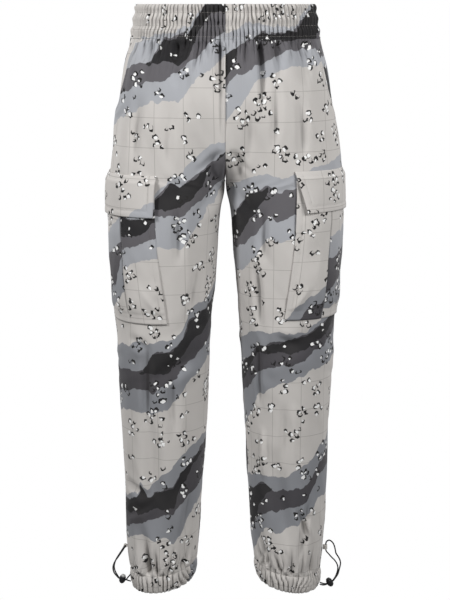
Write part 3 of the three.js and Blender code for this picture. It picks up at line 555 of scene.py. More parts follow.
# Printed cotton twill: matt, a soft sheen at grazing angles, flat pigment colours with crisp edges
def makePrintedTwill(name, fade):
    # fade is 0 on the printed side, and towards 1 the print only shows through
    p = printedTwill
    made = bpy.data.materials.new(name)
    made.use_nodes = True
    tree = made.node_tree
    shader = tree.nodes["Principled BSDF"]
    shader.inputs["Roughness"].default_value = 0.86
    shader.inputs["Sheen Weight"].default_value = 0.12
    shader.inputs["Sheen Roughness"].default_value = 0.5
    shader.inputs["Specular IOR Level"].default_value = 0.25

    uv = addNode(tree, "ShaderNodeUVMap", uv_map="cloth")
    cloth = addNode(tree, "ShaderNodeVectorMath", {0: uv.outputs[0], 1: (1000, 1000, 1000)}, operation="MULTIPLY")
    across = addNode(tree, "ShaderNodeSeparateXYZ", {0: cloth.outputs[0]})

    def scaled(vector, size):
        return addNode(
            tree, "ShaderNodeVectorMath", {0: vector, 1: (1 / size,) * 3}, operation="MULTIPLY",
        ).outputs[0]

    def math2(kind, a, b, c=None):
        links = {0: a, 1: b}
        if c is not None:
            links[2] = c
        return addNode(tree, "ShaderNodeMath", links, operation=kind).outputs[0]

    def soften(value, low, high):
        links = {"Value": value, "From Min": low, "From Max": high}
        return addNode(tree, "ShaderNodeMapRange", links, interpolation_type="SMOOTHSTEP").outputs["Result"]

    def over(factor, under, top):
        links = {"Factor": factor, 6: under, 7: top}
        return addNode(tree, "ShaderNodeMix", links, data_type="RGBA").outputs[2]

    # band edges: long lumps and a finer grain on the stored fields
    fields = addNode(tree, "ShaderNodeAttribute", attribute_name="bands")
    lumps = addNode(
        tree, "ShaderNodeTexNoise",
        {"Vector": scaled(cloth.outputs[0], p["edgeLump"]), "Scale": 1.0, "Detail": 1.0, "Roughness": 0.4},
        noise_dimensions="2D",
    )
    grain = addNode(
        tree, "ShaderNodeTexNoise",
        {"Vector": scaled(cloth.outputs[0], p["edgeGrain"]), "Scale": 1.0, "Detail": 1.0, "Roughness": 0.5},
        noise_dimensions="2D",
    )
    lumpy = addNode(
        tree, "ShaderNodeVectorMath",
        {0: lumps.outputs["Color"], 1: (0.5, 0.5, 0.5)}, operation="SUBTRACT",
    )
    grainy = addNode(
        tree, "ShaderNodeVectorMath",
        {0: grain.outputs["Color"], 1: (0.5, 0.5, 0.5)}, operation="SUBTRACT",
    )
    moved = addNode(
        tree, "ShaderNodeVectorMath",
        {0: lumpy.outputs[0], 1: (p["edgeDepth"] * 1.6,) * 3, 2: fields.outputs["Vector"]},
        operation="MULTIPLY_ADD",
    )
    moved = addNode(
        tree, "ShaderNodeVectorMath",
        {0: grainy.outputs[0], 1: (3.4, 3.4, 3.4), 2: moved.outputs[0]}, operation="MULTIPLY_ADD",
    )
    tones = addNode(tree, "ShaderNodeSeparateXYZ", {0: moved.outputs[0]})
    isBlack = soften(tones.outputs[0], -0.5, 0.5)
    isDark = soften(tones.outputs[1], -0.5, 0.5)
    isLight = soften(tones.outputs[2], -0.5, 0.5)

    # thin windowpane lines, on the pale ground only
    def gridLine(value):
        place = math2("WRAP", value, p["grid"] / 2, -p["grid"] / 2)
        return soften(math2("ABSOLUTE", place, 0), p["lineWidth"] * 0.8, p["lineWidth"] * 0.3)

    lines = math2("MAXIMUM", gridLine(across.outputs[0]), gridLine(across.outputs[1]))
    mottle = addNode(
        tree, "ShaderNodeTexNoise",
        {"Vector": scaled(cloth.outputs[0], 60), "Scale": 1.0, "Detail": 2.0}, noise_dimensions="2D",
    )
    ground = over(math2("MULTIPLY", lines, 0.6), hexColor(p["ground"]), hexColor(p["line"]))
    # the greys deepen down the legs
    deep = soften(across.outputs[1], *p["deepens"])
    color = over(isLight, ground, over(deep, hexColor(p["light"]), hexColor(p["lightLow"])))
    color = over(isDark, color, over(deep, hexColor(p["dark"]), hexColor(p["darkLow"])))
    color = over(isBlack, color, hexColor(p["black"]))

    # pebble clusters: a white chip with a black arc on one side, turned at random in each cell
    bent = addNode(
        tree, "ShaderNodeVectorMath",
        {0: grainy.outputs[0], 1: (6, 6, 0), 2: cloth.outputs[0]}, operation="MULTIPLY_ADD",
    ).outputs[0]
    bent = addNode(
        tree, "ShaderNodeVectorRotate", {"Vector": bent, "Angle": 0.46}, rotation_type="Z_AXIS",
    ).outputs[0]
    pebbles = addNode(
        tree, "ShaderNodeTexVoronoi",
        {"Vector": scaled(bent, p["pebble"]), "Scale": 1.0, "Randomness": 0.95}, voronoi_dimensions="2D",
    )
    here = scaled(bent, p["pebble"])
    fromMiddle = addNode(
        tree, "ShaderNodeVectorMath", {0: here, 1: pebbles.outputs["Position"]}, operation="SUBTRACT",
    ).outputs[0]
    inMillimetres = addNode(
        tree, "ShaderNodeVectorMath", {0: pebbles.outputs["Position"], 1: (p["pebble"] / p["cluster"],) * 3},
        operation="MULTIPLY",
    ).outputs[0]
    clusters = addNode(
        tree, "ShaderNodeTexVoronoi",
        {"Vector": inMillimetres, "Scale": 1.0, "Randomness": 1.0}, voronoi_dimensions="2D",
    )
    chance = addNode(tree, "ShaderNodeSeparateColor", {0: pebbles.outputs["Color"]})
    size = addNode(tree, "ShaderNodeSeparateColor", {0: clusters.outputs["Color"]}).outputs[0]
    short, long = (value / p["cluster"] for value in p["clusterReach"])
    reach = math2("MULTIPLY_ADD", size, long - short, short)
    chosen = math2("LESS_THAN", clusters.outputs["Distance"], reach)
    turned = addNode(
        tree, "ShaderNodeVectorMath", {0: pebbles.outputs["Color"], 1: (0.5, 0.5, 0)}, operation="SUBTRACT",
    ).outputs[0]
    turned = addNode(tree, "ShaderNodeVectorMath", {0: turned, 1: (1, 1, 0)}, operation="MULTIPLY").outputs[0]
    toward = addNode(tree, "ShaderNodeVectorMath", {0: turned}, operation="NORMALIZE").outputs[0]
    shifted = addNode(
        tree, "ShaderNodeVectorMath", {0: toward, 1: (0.19, 0.19, 0), 2: fromMiddle}, operation="MULTIPLY_ADD",
    ).outputs[0]
    flat = addNode(tree, "ShaderNodeVectorMath", {0: shifted, 1: (1, 1, 0)}, operation="MULTIPLY").outputs[0]
    whiteReach = addNode(tree, "ShaderNodeVectorMath", {0: fromMiddle}, operation="LENGTH").outputs["Value"]
    blackReach = addNode(tree, "ShaderNodeVectorMath", {0: flat}, operation="LENGTH").outputs["Value"]
    whiteSize = math2("MULTIPLY_ADD", chance.outputs[2], 0.17, 0.15)
    isWhite = soften(math2("SUBTRACT", whiteSize, whiteReach), -0.03, 0.03)
    isBehind = soften(math2("SUBTRACT", math2("ADD", whiteSize, 0.15), blackReach), -0.03, 0.03)
    arcs = math2("MULTIPLY", math2("MULTIPLY", isBehind, math2("SUBTRACT", 1, isWhite)), chosen)
    whites = math2("MULTIPLY", isWhite, math2("MULTIPLY", chosen, math2("GREATER_THAN", chance.outputs[1], 0.35)))
    color = over(arcs, color, hexColor(p["chipBlack"]))
    color = over(whites, color, hexColor(p["chipWhite"]))

    # a little unevenness of dye, painted shade in the creases and gathers, and the paler wrong side
    tint = soften(mottle.outputs[0], 0.25, 0.75)
    color = over(math2("MULTIPLY", tint, 0.05), color, hexColor("#8f8b87"))
    # painted shade: the colour darkens towards #2a2829 where the cloth lies below its neighbours, as shade falls in
    # creases and gathers
    sunk = addNode(tree, "ShaderNodeAttribute", attribute_name="sunk")
    shade = math2("MULTIPLY", soften(sunk.outputs["Fac"], 0.1, 1.5), 0.5)
    color = over(shade, color, hexColor("#2a2829"))
    if fade:
        color = over(fade, color, hexColor("#c4c1bb"))
    tree.links.new(color, shader.inputs["Base Color"])

    # twill lines at 45 degrees, drawn coarser than the real 0.5 mm pitch so that they show
    diagonal = math2("ADD", across.outputs[0], across.outputs[1])
    twill = math2("SINE", math2("MULTIPLY", diagonal, 2 * math.pi / p["threadPitch"]), 0)
    slub = addNode(
        tree, "ShaderNodeTexNoise",
        {"Vector": scaled(cloth.outputs[0], 2.2), "Scale": 1.0, "Detail": 3.0}, noise_dimensions="2D",
    )
    relief = math2("MULTIPLY_ADD", slub.outputs[0], 1.6, math2("MULTIPLY", twill, 0.5))
    raised = addNode(tree, "ShaderNodeBump", {"Strength": 0.25, "Distance": 0.00025, "Height": relief})
    tree.links.new(raised.outputs[0], shader.inputs["Normal"])
    return made


printed = makePrintedTwill("printedCottonTwill", 0)
wrongSide = makePrintedTwill("cottonTwillWrongSide", 0.62)
print("print and twill ready")


def makeThread():
    # Spun polyester sewing thread: mid grey, faintly glossy, with a twist across each stitch
    made = bpy.data.materials.new("polyesterThread")
    made.use_nodes = True
    tree = made.node_tree
    shader = tree.nodes["Principled BSDF"]
    shader.inputs["Roughness"].default_value = 0.6
    shader.inputs["Specular IOR Level"].default_value = 0.4
    coordinates = addNode(tree, "ShaderNodeTexCoord")
    twist = addNode(
        tree, "ShaderNodeTexNoise", {"Vector": coordinates.outputs["Object"], "Scale": 900.0, "Detail": 1.0},
    )
    color = addNode(
        tree, "ShaderNodeMix",
        {"Factor": twist.outputs[0], 6: hexColor("#8b8783"), 7: hexColor("#a7a39d")}, data_type="RGBA",
    )
    tree.links.new(color.outputs[2], shader.inputs["Base Color"])
    return made


thread = makeThread()


# Meshes
def makeObject(name, vertices, faces, material, uvs=None, fields=None):
    mesh = bpy.data.meshes.new(name)
    vertices = np.asarray(vertices, float).reshape(-1, 3) * mm
    mesh.from_pydata(vertices.tolist(), [], faces.tolist() if isinstance(faces, np.ndarray) else faces)
    mesh.polygons.foreach_set("use_smooth", [True] * len(mesh.polygons))
    if uvs is not None:
        layer = mesh.uv_layers.new(name="cloth")
        corner = np.zeros(len(mesh.loops), dtype=np.int32)
        mesh.loops.foreach_get("vertex_index", corner)
        layer.data.foreach_set("uv", (np.asarray(uvs, float).reshape(-1, 2)[corner] * mm).ravel())
    if fields is not None:
        stored = mesh.attributes.new("bands", "FLOAT_VECTOR", "POINT")
        stored.data.foreach_set("vector", np.asarray(fields, float).reshape(-1, 3).ravel())
    mesh.materials.append(material)
    mesh.update()
    made = bpy.data.objects.new(name, mesh)
    bpy.context.collection.objects.link(made)
    return made


def gridFaces(rows, columns, flip, start=0):
    i, j = np.meshgrid(np.arange(rows - 1), np.arange(columns - 1), indexing="ij")
    a = (start + i * columns + j).ravel()
    faces = np.stack([a, a + columns, a + columns + 1, a + 1], axis=1)
    return faces[:, ::-1] if flip else faces


def clothPiece(name, side, points, uvs, fields, thickness):
    # rows run down and columns from the first place to the last, with the printed side outwards
    rows, columns = points.shape[:2]
    middle = points[rows // 2, columns // 2]
    a = points[rows // 2 + 1, columns // 2] - middle
    b = points[rows // 2, columns // 2 + 1] - middle
    legX = 0.55 * abs(middle[0]) * np.sign(middle[0]) if middle[2] > -300 else 110 * side
    outward = middle - np.array([legX, 5, middle[2]])
    flip = np.dot(np.cross(a, b), outward) < 0
    made = makeObject(name, points, gridFaces(rows, columns, flip), printed, uvs, fields)
    # how far each point lies below its neighbours to both sides, in mm, for the shade painted into the colour inside
    # creases and gathers
    outwards = np.cross(np.gradient(points, axis=0), np.gradient(points, axis=1)) * (-1 if flip else 1)
    outwards /= np.maximum(np.linalg.norm(outwards, axis=-1, keepdims=True), 1e-9)
    sunk = np.zeros((rows, columns))
    beside = (points[:, 4:] + points[:, :-4]) / 2 - points[:, 2:-2]
    sunk[:, 2:-2] = np.sum(beside * outwards[:, 2:-2], axis=-1)
    stored = made.data.attributes.new("sunk", "FLOAT", "POINT")
    stored.data.foreach_set("value", sunk.ravel())
    made.data.materials.append(wrongSide)
    shell = made.modifiers.new("wall", "SOLIDIFY")
    shell.thickness = thickness * mm
    shell.offset = -1
    shell.material_offset = 1
    shell.material_offset_rim = 0
    return made


def surfaceOf(points):
    # points and normals of a grid, to lay stitches on it
    down = np.gradient(points, axis=0)
    along = np.gradient(points, axis=1)
    normals = np.cross(down, along)
    normals /= np.linalg.norm(normals, axis=-1, keepdims=True) + 1e-12
    return {"points": points, "normals": normals}


def onSurface(surface, rows, columns):
    def pick(grid):
        i = np.clip(np.floor(rows).astype(int), 0, grid.shape[0] - 2)
        j = np.clip(np.floor(columns).astype(int), 0, grid.shape[1] - 2)
        u, v = (rows - i)[:, None], (columns - j)[:, None]
        top = mix(grid[i, j], grid[i, j + 1], v)
        return mix(top, mix(grid[i + 1, j], grid[i + 1, j + 1], v), u)

    return pick(surface["points"]), pick(surface["normals"])


stitch = {"length": 2.7, "gap": 0.9, "width": 0.55, "height": 0.32}


def stitchRun(surface, rows, columns, outward, sink=0.0):
    # stitches along a path over a grid: spindles half sunk into the cloth
    steps = max(len(rows), 400)
    share = np.linspace(0, 1, steps)
    given = np.linspace(0, 1, len(rows))
    points, normals = onSurface(surface, np.interp(share, given, rows), np.interp(share, given, columns))
    normals = normals * outward
    walked = np.concatenate([[0], np.cumsum(np.linalg.norm(np.diff(points, axis=0), axis=1))])
    pitch = stitch["length"] + stitch["gap"]
    starts = np.arange(0.5, walked[-1] - stitch["length"], pitch)

    def at(distance):
        return np.stack([np.interp(distance, walked, points[:, k]) for k in range(3)], axis=1)

    def facing(distance):
        return np.stack([np.interp(distance, walked, normals[:, k]) for k in range(3)], axis=1)

    shape = [(0.0, -0.3, 0.2), (0.18, 0.7, 0.9), (0.5, 1.0, 1.0), (0.82, 0.7, 0.9), (1.0, -0.3, 0.2)]
    rings = []
    for along, lift, wide in shape:
        spot = starts + along * stitch["length"]
        middle = at(spot) + facing(spot) * (stitch["height"] * lift * 0.5 - sink)
        ahead = at(spot + 0.2) - at(spot - 0.2)
        across = np.cross(ahead, facing(spot))
        across /= np.linalg.norm(across, axis=1, keepdims=True) + 1e-12
        for x, z in ((1, 0), (0, 1), (-1, 0), (0, -1)):
            offset = across * x * stitch["width"] / 2 + facing(spot) * z * stitch["height"] / 2
            rings.append(middle + offset * wide)
    vertices = np.stack(rings, axis=1)
    count = len(starts)
    faces = []
    for r in range(len(shape) - 1):
        for k in range(4):
            faces.append([r * 4 + k, r * 4 + (k + 1) % 4, r * 4 + 4 + (k + 1) % 4, r * 4 + 4 + k])
    faces += [[0, 3, 2, 1], [16, 17, 18, 19]]
    base = np.array(faces)
    every = (base[None] + (np.arange(count) * 20)[:, None, None]).reshape(-1, 4)
    return vertices.reshape(-1, 3), every


def sewRuns(name, runs):
    vertices, faces, start = [], [], 0
    for points, quads in runs:
        vertices.append(points)
        faces.append(quads + start)
        start += len(points)
    made = makeObject(name, np.concatenate(vertices), np.concatenate(faces), thread)
    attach(made, "root")
    return made


def finishCloth(piece, node):
    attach(piece, "root")
    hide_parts(node)


# Waistband: elastic in a casing, three stitched rows, cloth puffed out between them
waistband = {
    "columns": 432, "rowStep": 1.35, "thickness": 2.6, "edgeRoll": 1.2, "stitchRows": (13.8, 35.4, 52.6),
    "rows": np.array([
        [0, -0.2, 1.2], [-6, 1.0, 2.1], [-13.8, -0.6, 1.5], [-24.6, 1.2, 2.3], [-35.4, -0.5, 1.5],
        [-44, 1.0, 2.2], [-52.6, -0.3, 1.6], [-57, 0.0, 1.5],
    ]),
}


def bandHeight(arc, down, table, pitch, seed, lean, evenness):
    row = smoothRows(table, -down)
    return row[..., 1] + row[..., 2] * gatherWave(arc, down, pitch, seed, lean) * 2.4 * evenness


def foldedLength(points):
    steps = np.linalg.norm(np.diff(points, axis=1), axis=-1)
    return np.concatenate([np.zeros((len(points), 1)), np.cumsum(steps, axis=1)], axis=1)


def makeWaistband(name, side):
    w = waistband
    down = np.arange(0, form["waistbandHeight"] + 0.01, w["rowStep"])
    down = np.append(down[down < 56.6], 57.0)
    place = np.linspace(0.0004, 0.9996, w["columns"])
    arc = place[None, :] * turnLength(-20.0)
    flatUntil = 0.035 if side > 0 else 0.012
    evenness = ease(0.003, flatUntil, place)[None, :] * ease(1, 0.99, place)[None, :]
    level = -down[:, None]
    height = bandHeight(arc, down[:, None], w["rows"], gathers["bandPitch"], 140 + side, 0.3, evenness)
    height = height + seamGroove(arc, 1.2, 1.6) + seamGroove(arc[:, -1:] - arc, 1.2, 1.6)
    points = clothPoints(side, place[None, :], level, height)
    roll = np.array([[-w["thickness"], -0.6], [-1.5, 0.0], [-0.5, 0.3]])
    top = [clothPoints(side, place, -0.0, height[0] + out) + np.array([0, 0, up - 0.3]) for out, up in roll]
    points[0, :, 2] -= 0.3
    low = [clothPoints(side, place, -57.0, height[-1] + out) + np.array([0, 0, up]) for out, up in ((-1.6, -0.2),)]
    points = np.concatenate([np.stack(top), points, np.stack(low)])
    folded = foldedLength(points)
    folded = np.mean(folded, axis=0, keepdims=True) * 0.92 + folded * 0.08
    downs = np.concatenate([[-3, -1.8, -0.8], down, [58.5]])
    uvs = np.stack([side * (folded + 30 * side), np.broadcast_to(downs[:, None], folded.shape)], axis=-1)
    bandName = "waistband" + name.capitalize()
    fields = bandFields(bandName, side * np.broadcast_to(arc, folded.shape), uvs[..., 1])
    piece = clothPiece(bandName, side, points, uvs + np.array([17, 8]), fields, 0.7)
    finishCloth(piece, "waistband_" + name)
    surface = surfaceOf(points)
    columns = np.linspace(2, w["columns"] - 3, 900)
    runs = []
    for depth in w["stitchRows"]:
        rows = np.full(900, np.interp(depth, downs, np.arange(len(downs))))
        runs.append(stitchRun(surface, rows, columns, side, 0.05))
    threads = sewRuns(bandName + "Stitches", runs)


# Panels: fronts and backs with their folds, gathers and seams
panel = {"columns": 140, "thickness": 0.8, "edgeTurn": 1.4}


def panelLevels():
    top = -form["waistbandHeight"] - form["seamGap"]
    bottom = form["hemLevel"] + form["cuffHeight"] + form["seamGap"]
    steps = np.concatenate([
        np.arange(top, -84, -1.8), np.arange(-84, -236, -3.4), np.arange(-236, -300, -2.7),
        np.arange(-300, -380, -4.0), np.arange(-380, -900, -6.0), np.arange(-900, -970, -3.9),
        np.arange(-970, bottom, -1.9),
    ])
    return np.append(steps, bottom)


def panelUv(side, place, level, plumb):
    right = side * (arcAt(place, level) - atLevel(plumb, level))
    return right, -level + 0 * right


def makePanel(kind, name, side, places, plumb, print_, shift):
    levels = panelLevels()
    place = np.stack([places(level) for level in levels])
    level = np.broadcast_to(levels[:, None], place.shape)
    height = panelHeight(side, place, level)
    # both ends run on under the waistband and the cuff as seam allowance
    place = np.concatenate([place[:1], place, place[-1:]])
    level = np.concatenate([level[:1] + 1.4, level, level[-1:] - 1.4])
    height = np.concatenate([height[:1] - 2.2, height, height[-1:] - 2.4])
    levels = level[:, 0]
    points = clothPoints(side, place, level, height)
    turned = clothPoints(side, place, level, height - panel["edgeTurn"] - 0.6)
    points = np.concatenate([turned[:, :1], points, turned[:, -1:]], axis=1)
    right, down = panelUv(side, place, level, plumb)
    right = np.concatenate([right[:, :1], right, right[:, -1:]], axis=1)
    down = np.concatenate([down[:, :1], down, down[:, -1:]], axis=1)
    fields = bandFields(print_, right, down)
    uvs = np.stack([right, down], axis=-1) + np.array(shift)
    piece = clothPiece(kind + name.capitalize(), side, points, uvs, fields, panel["thickness"])
    finishCloth(piece, kind + "_" + name)
    return piece, points, place, levels


def gapShare(level):
    return form["seamGap"] / 2 / turnLength(level)


def makeFront(name, side):
    shares = np.linspace(0, 1, panel["columns"])

    def places(level):
        reach = float(hipEdgeReach(level)) if level > hipPocket["end"] else 0
        edge = min(float(placesAtReach([reach], level)[0]), 0.5 - gapShare(level))
        return mix(gapShare(level), edge, shares)

    shift = (8, 15) if side < 0 else (-371, 8)
    made = makePanel("front", name, side, places, frontPlumb, "front" + name.capitalize(), shift)
    piece, points, place, levels = made
    surface = surfaceOf(points)
    hip = np.flatnonzero(levels > hipPocket["end"])
    rows = hip.astype(float)
    widths = arcAt(place[hip, -1], levels[hip]) - arcAt(place[hip, 0], levels[hip])
    columns = panel["columns"] - (panel["columns"] - 1) * 7.5 / widths
    threads = sewRuns("front" + name.capitalize() + "Stitches", [stitchRun(surface, rows, columns, side)])
    sheetOf(piece, points)


def sheetOf(piece, points):
    widths = np.sum(np.linalg.norm(np.diff(points, axis=1), axis=-1), axis=1)
    lengths = np.sum(np.linalg.norm(np.diff(points, axis=0), axis=-1), axis=0)


def makeBack(name, side):
    shares = np.linspace(0, 1, panel["columns"])

    def places(level):
        return mix(1 - gapShare(level), 0.5 + gapShare(level), shares)

    shift = (31, 4) if side < 0 else (5, 37)
    made = makePanel("back", name, side, places, backPlumb, "back" + name.capitalize(), shift)
    piece, points, place, levels = made
    sheetOf(piece, points)


def makeFacing(name, side):
    h = hipPocket
    levels = np.arange(-57.3, h["end"], -3.0)
    shares = np.linspace(0, 1, 34)

    def places(level):
        reach = float(hipEdgeReach(level)) + h["underlap"]
        return mix(0.5 - gapShare(level), float(placesAtReach([reach], level)[0]), shares)

    place = np.stack([places(level) for level in levels])
    level = np.broadcast_to(levels[:, None], place.shape)
    past = (0.5 - place) * turnLength(level) - hipEdgeReach(level)
    sink = -h["sink"][side] * np.maximum(ease(-14, 0, past), ease(-155, -172, level))
    band = place * turnLength(-57.0)
    height = sink + 0.5 * gatherHeight(band, -57 - level, gathers["waist"], 20 + side)
    height = height + seamGroove((place - 0.5) * turnLength(level))
    height = np.minimum(height, 0.4)
    points = clothPoints(side, place, level, height)
    right, down = panelUv(side, place, level, frontPlumb)
    fields = bandFields("facing" + name.capitalize(), right, down)
    if side > 0:
        # painted shadow: the print's black is laid in a strip along the pocket's edge for the shade in the pocket
        # mouth, and shows as a dark slit from the front
        paintedSlitShadow = np.minimum(14 - np.abs(past + 11), 27 - np.abs(level + 130))
        fields[..., 0] = np.maximum(fields[..., 0], 1.6 * paintedSlitShadow)
    uvs = np.stack([right, down], axis=-1) + np.array([-33, 18])
    piece = clothPiece("hipFacing" + name.capitalize(), side, points, uvs, fields, panel["thickness"])
    finishCloth(piece, "hip_facing_" + name)


# Cargo pockets: one pleat, stitched down all round but the mouth, with a separately cut rear part
pocket = {
    "frontReach": 152, "backReach": -22, "pleatReach": 85, "top": 294, "bottom": 533, "seat": 0.65,
    "rise": 1.8, "pleatStep": 1.1, "wall": 1.6, "drop": {"left": 4, "right": -4},
}
flap = {
    "frontReach": 155, "backReach": -25, "top": 278, "bottom": 347.5, "spread": 1, "lift": 5,
    "slant": {"left": 5, "right": 19}, "cornerLift": {"left": 1.5, "right": 6}, "stitchIn": 11,
}


def makePocket(name, side):
    p = pocket
    drop = p["drop"][name]
    shares = np.linspace(0, 1, 92)
    reaches = np.concatenate([
        np.linspace(p["backReach"], p["pleatReach"] - 0.9, 46),
        np.linspace(p["pleatReach"] + 0.9, p["frontReach"], 34),
    ])
    levels = -mix(p["top"], p["bottom"], shares) - drop
    place = np.stack([placesAtReach(reaches, level) for level in levels])
    level = np.broadcast_to(levels[:, None], place.shape)
    reach = np.broadcast_to(reaches[None, :], place.shape)
    down = np.broadcast_to(shares[:, None], place.shape)
    across = (reach - p["backReach"]) / (p["frontReach"] - p["backReach"])
    belly = np.sqrt(np.maximum(0, np.sin(np.pi * np.clip(across, 0, 1))))
    fixed = 1 - ease(0.8, 1, down)
    step = np.where(reach > p["pleatReach"], p["pleatStep"], 0) * (1 - ease(0.85, 1, across))
    height = p["seat"] + (p["rise"] * belly + step) * fixed + p["wall"]
    seed = 700 + side
    bottomDistance = (1 - down) * (p["bottom"] - p["top"])
    sag = 1.6 * noise(reach / 30, level / 46, seed) + 0.8 * noise(reach / 13, level / 24, seed + 1)
    inner = ease(0, 16, reach - p["backReach"]) * ease(0, 16, p["frontReach"] - reach) * ease(4, 24, bottomDistance)
    height = height + sag * inner
    # drag lines that run up from the bottom corners, and puckers along the hem stitches
    for corner, lean, reachOut, size in ((p["frontReach"] - 12, 0.55, 50, 2.4), (60, -0.35, 42, 2.0), (10, 0.3, 60, 2.0)):
        away = reach - (corner - lean * (bottomDistance - 18))
        height = height + size * bump(away, 7) * ease(12, 26, bottomDistance) * (1 - ease(30, reachOut + 26, bottomDistance))
    height = height - 0.7 * bump(bottomDistance - 16, 2.4) - 0.4 * bump(bottomDistance - 9, 1.8)
    height = height + 0.4 * noise(reach / 5, 0.5, seed + 7) * bump(bottomDistance - 17, 9)
    height = height - 0.5 * bump(p["frontReach"] - reach - 9.5, 2.0)
    height = height + 0.35 * noise(level / 6, 1.5, seed + 8) * bump(p["frontReach"] - reach - 9, 6)
    pleat = np.abs(reach - p["pleatReach"])
    height = height - 1.6 * bump(pleat, 1.8) * (1 - 0.6 * ease(30, 8, bottomDistance))
    points = clothPoints(side, place, level, np.maximum(height, 1.2))
    under = clothPoints(side, place, level, np.full(place.shape, 0.35))
    points = np.concatenate([under[:, :1], points, under[:, -1:]], axis=1)
    points = np.concatenate([points, np.concatenate([under[-1:, :1], under[-1:], under[-1:, -1:]], axis=1)])
    right = -side * np.concatenate([reach[:, :1] - 2, reach, reach[:, -1:] + 2], axis=1)
    right = np.concatenate([right, right[-1:]])
    downs = np.concatenate([-levels, [-levels[-1] + 2]])[:, None] + 0 * right
    nameCap = name.capitalize()
    rear = bandFields("pocketRear" + nameCap, right, downs)
    front = bandFields("pocketFront" + nameCap, right, downs)
    isFront = np.abs(right) * np.sign(-side * right) > p["pleatReach"]
    fields = np.where(isFront[..., None], front, rear)
    uvs = np.stack([right, downs], axis=-1) + np.where(isFront[..., None], [37.0, 23.0], [11.0, 41.0])
    piece = clothPiece("cargoPocket" + nameCap, side, points, uvs, fields, 0.8)
    finishCloth(piece, "cargo_pocket_" + name)
    surface = surfaceOf(points)
    columnsAt = np.concatenate([[reaches[0] - 1], reaches, [reaches[-1] + 1]])

    def column(at):
        return np.interp(at, columnsAt, np.arange(len(columnsAt)))

    def row(fromBottom):
        return (1 - fromBottom / (p["bottom"] - p["top"])) * 91

    outward = side
    runs = [
        stitchRun(surface, np.array([20.0, row(2)]), np.full(2, column(p["frontReach"] - 9.5)), outward),
        stitchRun(surface, np.array([20.0, row(2)]), np.full(2, column(p["backReach"] + 3)), outward),
        stitchRun(surface, np.array([20.0, row(8)]), np.full(2, column(p["pleatReach"] + 3.2)), outward),
        stitchRun(surface, np.full(2, row(16.5)), np.array([column(-18), column(p["frontReach"] - 3)]), outward),
        stitchRun(surface, np.full(2, row(8.5)), np.array([column(-18), column(p["frontReach"] - 3)]), outward),
    ]
    threads = sewRuns("cargoPocket" + nameCap + "Stitches", runs)


def makeFlap(name, side):
    f = flap
    drop = pocket["drop"][name]
    shares = np.linspace(0, 1, 44)
    parts = np.linspace(0, 1, 92)
    share, part = np.meshgrid(shares, parts, indexing="ij")
    levels = -mix(f["top"], f["bottom"], shares) - drop
    level = np.broadcast_to(levels[:, None], share.shape)
    front = f["frontReach"] - f["slant"][name] * share
    reach = mix(f["backReach"], front, part)
    place = np.stack([placesAtReach(r, lv) for r, lv in zip(reach, levels)])
    free = ease(0, 0.2, share)
    corner = f["cornerLift"][name] * share * ease(0.75, 1, part)
    height = pocket["seat"] + (f["lift"] - pocket["seat"]) * free + f["spread"] * share * free + corner + 1.6
    seed = 760 + side
    height = height + 0.8 * noise(reach / 36, share * 1.8, seed) * ease(0.1, 0.4, share)
    fromBottom = (1 - share) * (f["bottom"] - f["top"])
    fromFront = (1 - part) * (front - f["backReach"])
    fromBack = part * (front - f["backReach"])
    fromTop = share * (f["bottom"] - f["top"])
    edge = np.minimum(np.minimum(fromBottom, fromFront), fromBack)
    height = height - 0.55 * bump(edge - f["stitchIn"], 1.8) + 0.35 * bump(edge - 4, 3.4)
    height = height + 0.3 * noise((reach + level) / 5, 0.5, seed + 3) * bump(edge - f["stitchIn"], 5)
    height = height - 0.5 * bump(fromTop - 8, 2.0) - 0.8 * bump(fromTop, 1.4)
    points = clothPoints(side, place, level, height)
    inner = clothPoints(side, place, level, height - 1.5)
    points = np.concatenate([inner[:, :1], points, inner[:, -1:]], axis=1)
    lowRow = np.concatenate([inner[-1:, :1], inner[-1:], inner[-1:, -1:]], axis=1)
    highRow = np.concatenate([inner[:1, :1], inner[:1], inner[:1, -1:]], axis=1)
    points = np.concatenate([highRow, points, lowRow])
    wide = np.concatenate([reach[:, :1] - 1.5, reach, reach[:, -1:] + 1.5], axis=1)
    right = -side * np.concatenate([wide[:1], wide, wide[-1:]])
    downs = np.concatenate([[-levels[0] - 1.5], -levels, [-levels[-1] + 1.5]])[:, None] + 0 * right
    nameCap = name.capitalize()
    fields = bandFields("flap" + nameCap, right, downs)
    uvs = np.stack([right, downs], axis=-1) + np.array([7, 13])
    piece = clothPiece("cargoFlap" + nameCap, side, points, uvs, fields, 1.2)
    finishCloth(piece, "cargo_flap_" + name)
    surface = surfaceOf(points)
    rowOf = (len(shares) - 1) / (f["bottom"] - f["top"])
    columnOf = (len(parts) - 1) / (f["frontReach"] - f["backReach"])
    inset = f["stitchIn"]
    lowRow = 1 + (len(shares) - 1) - inset * rowOf
    backColumn, frontColumn = 1 + inset * columnOf, len(parts) - inset * columnOf
    runs = [
        stitchRun(surface, np.full(2, 1 + 8 * rowOf), np.array([2.0, len(parts) - 1]), side),
        stitchRun(surface, np.full(2, lowRow), np.array([backColumn, frontColumn]), side),
        stitchRun(surface, np.array([1 + 8 * rowOf, lowRow]), np.full(2, frontColumn), side),
        stitchRun(surface, np.array([1 + 8 * rowOf, lowRow]), np.full(2, backColumn), side),
    ]
    threads = sewRuns("cargoFlap" + nameCap + "Stitches", runs)


# Cuffs: an elastic casing, gathered, with the leg's cloth blousing over its seam
cuff = {
    "columns": 320, "rowStep": 1.25, "thickness": 2.6,
    "rows": np.array([[0, -0.6, 0.9], [-6, 1.2, 1.7], [-16, 1.6, 2.1], [-26, 1.0, 1.9], [-30, -0.2, 1.3]]),
}


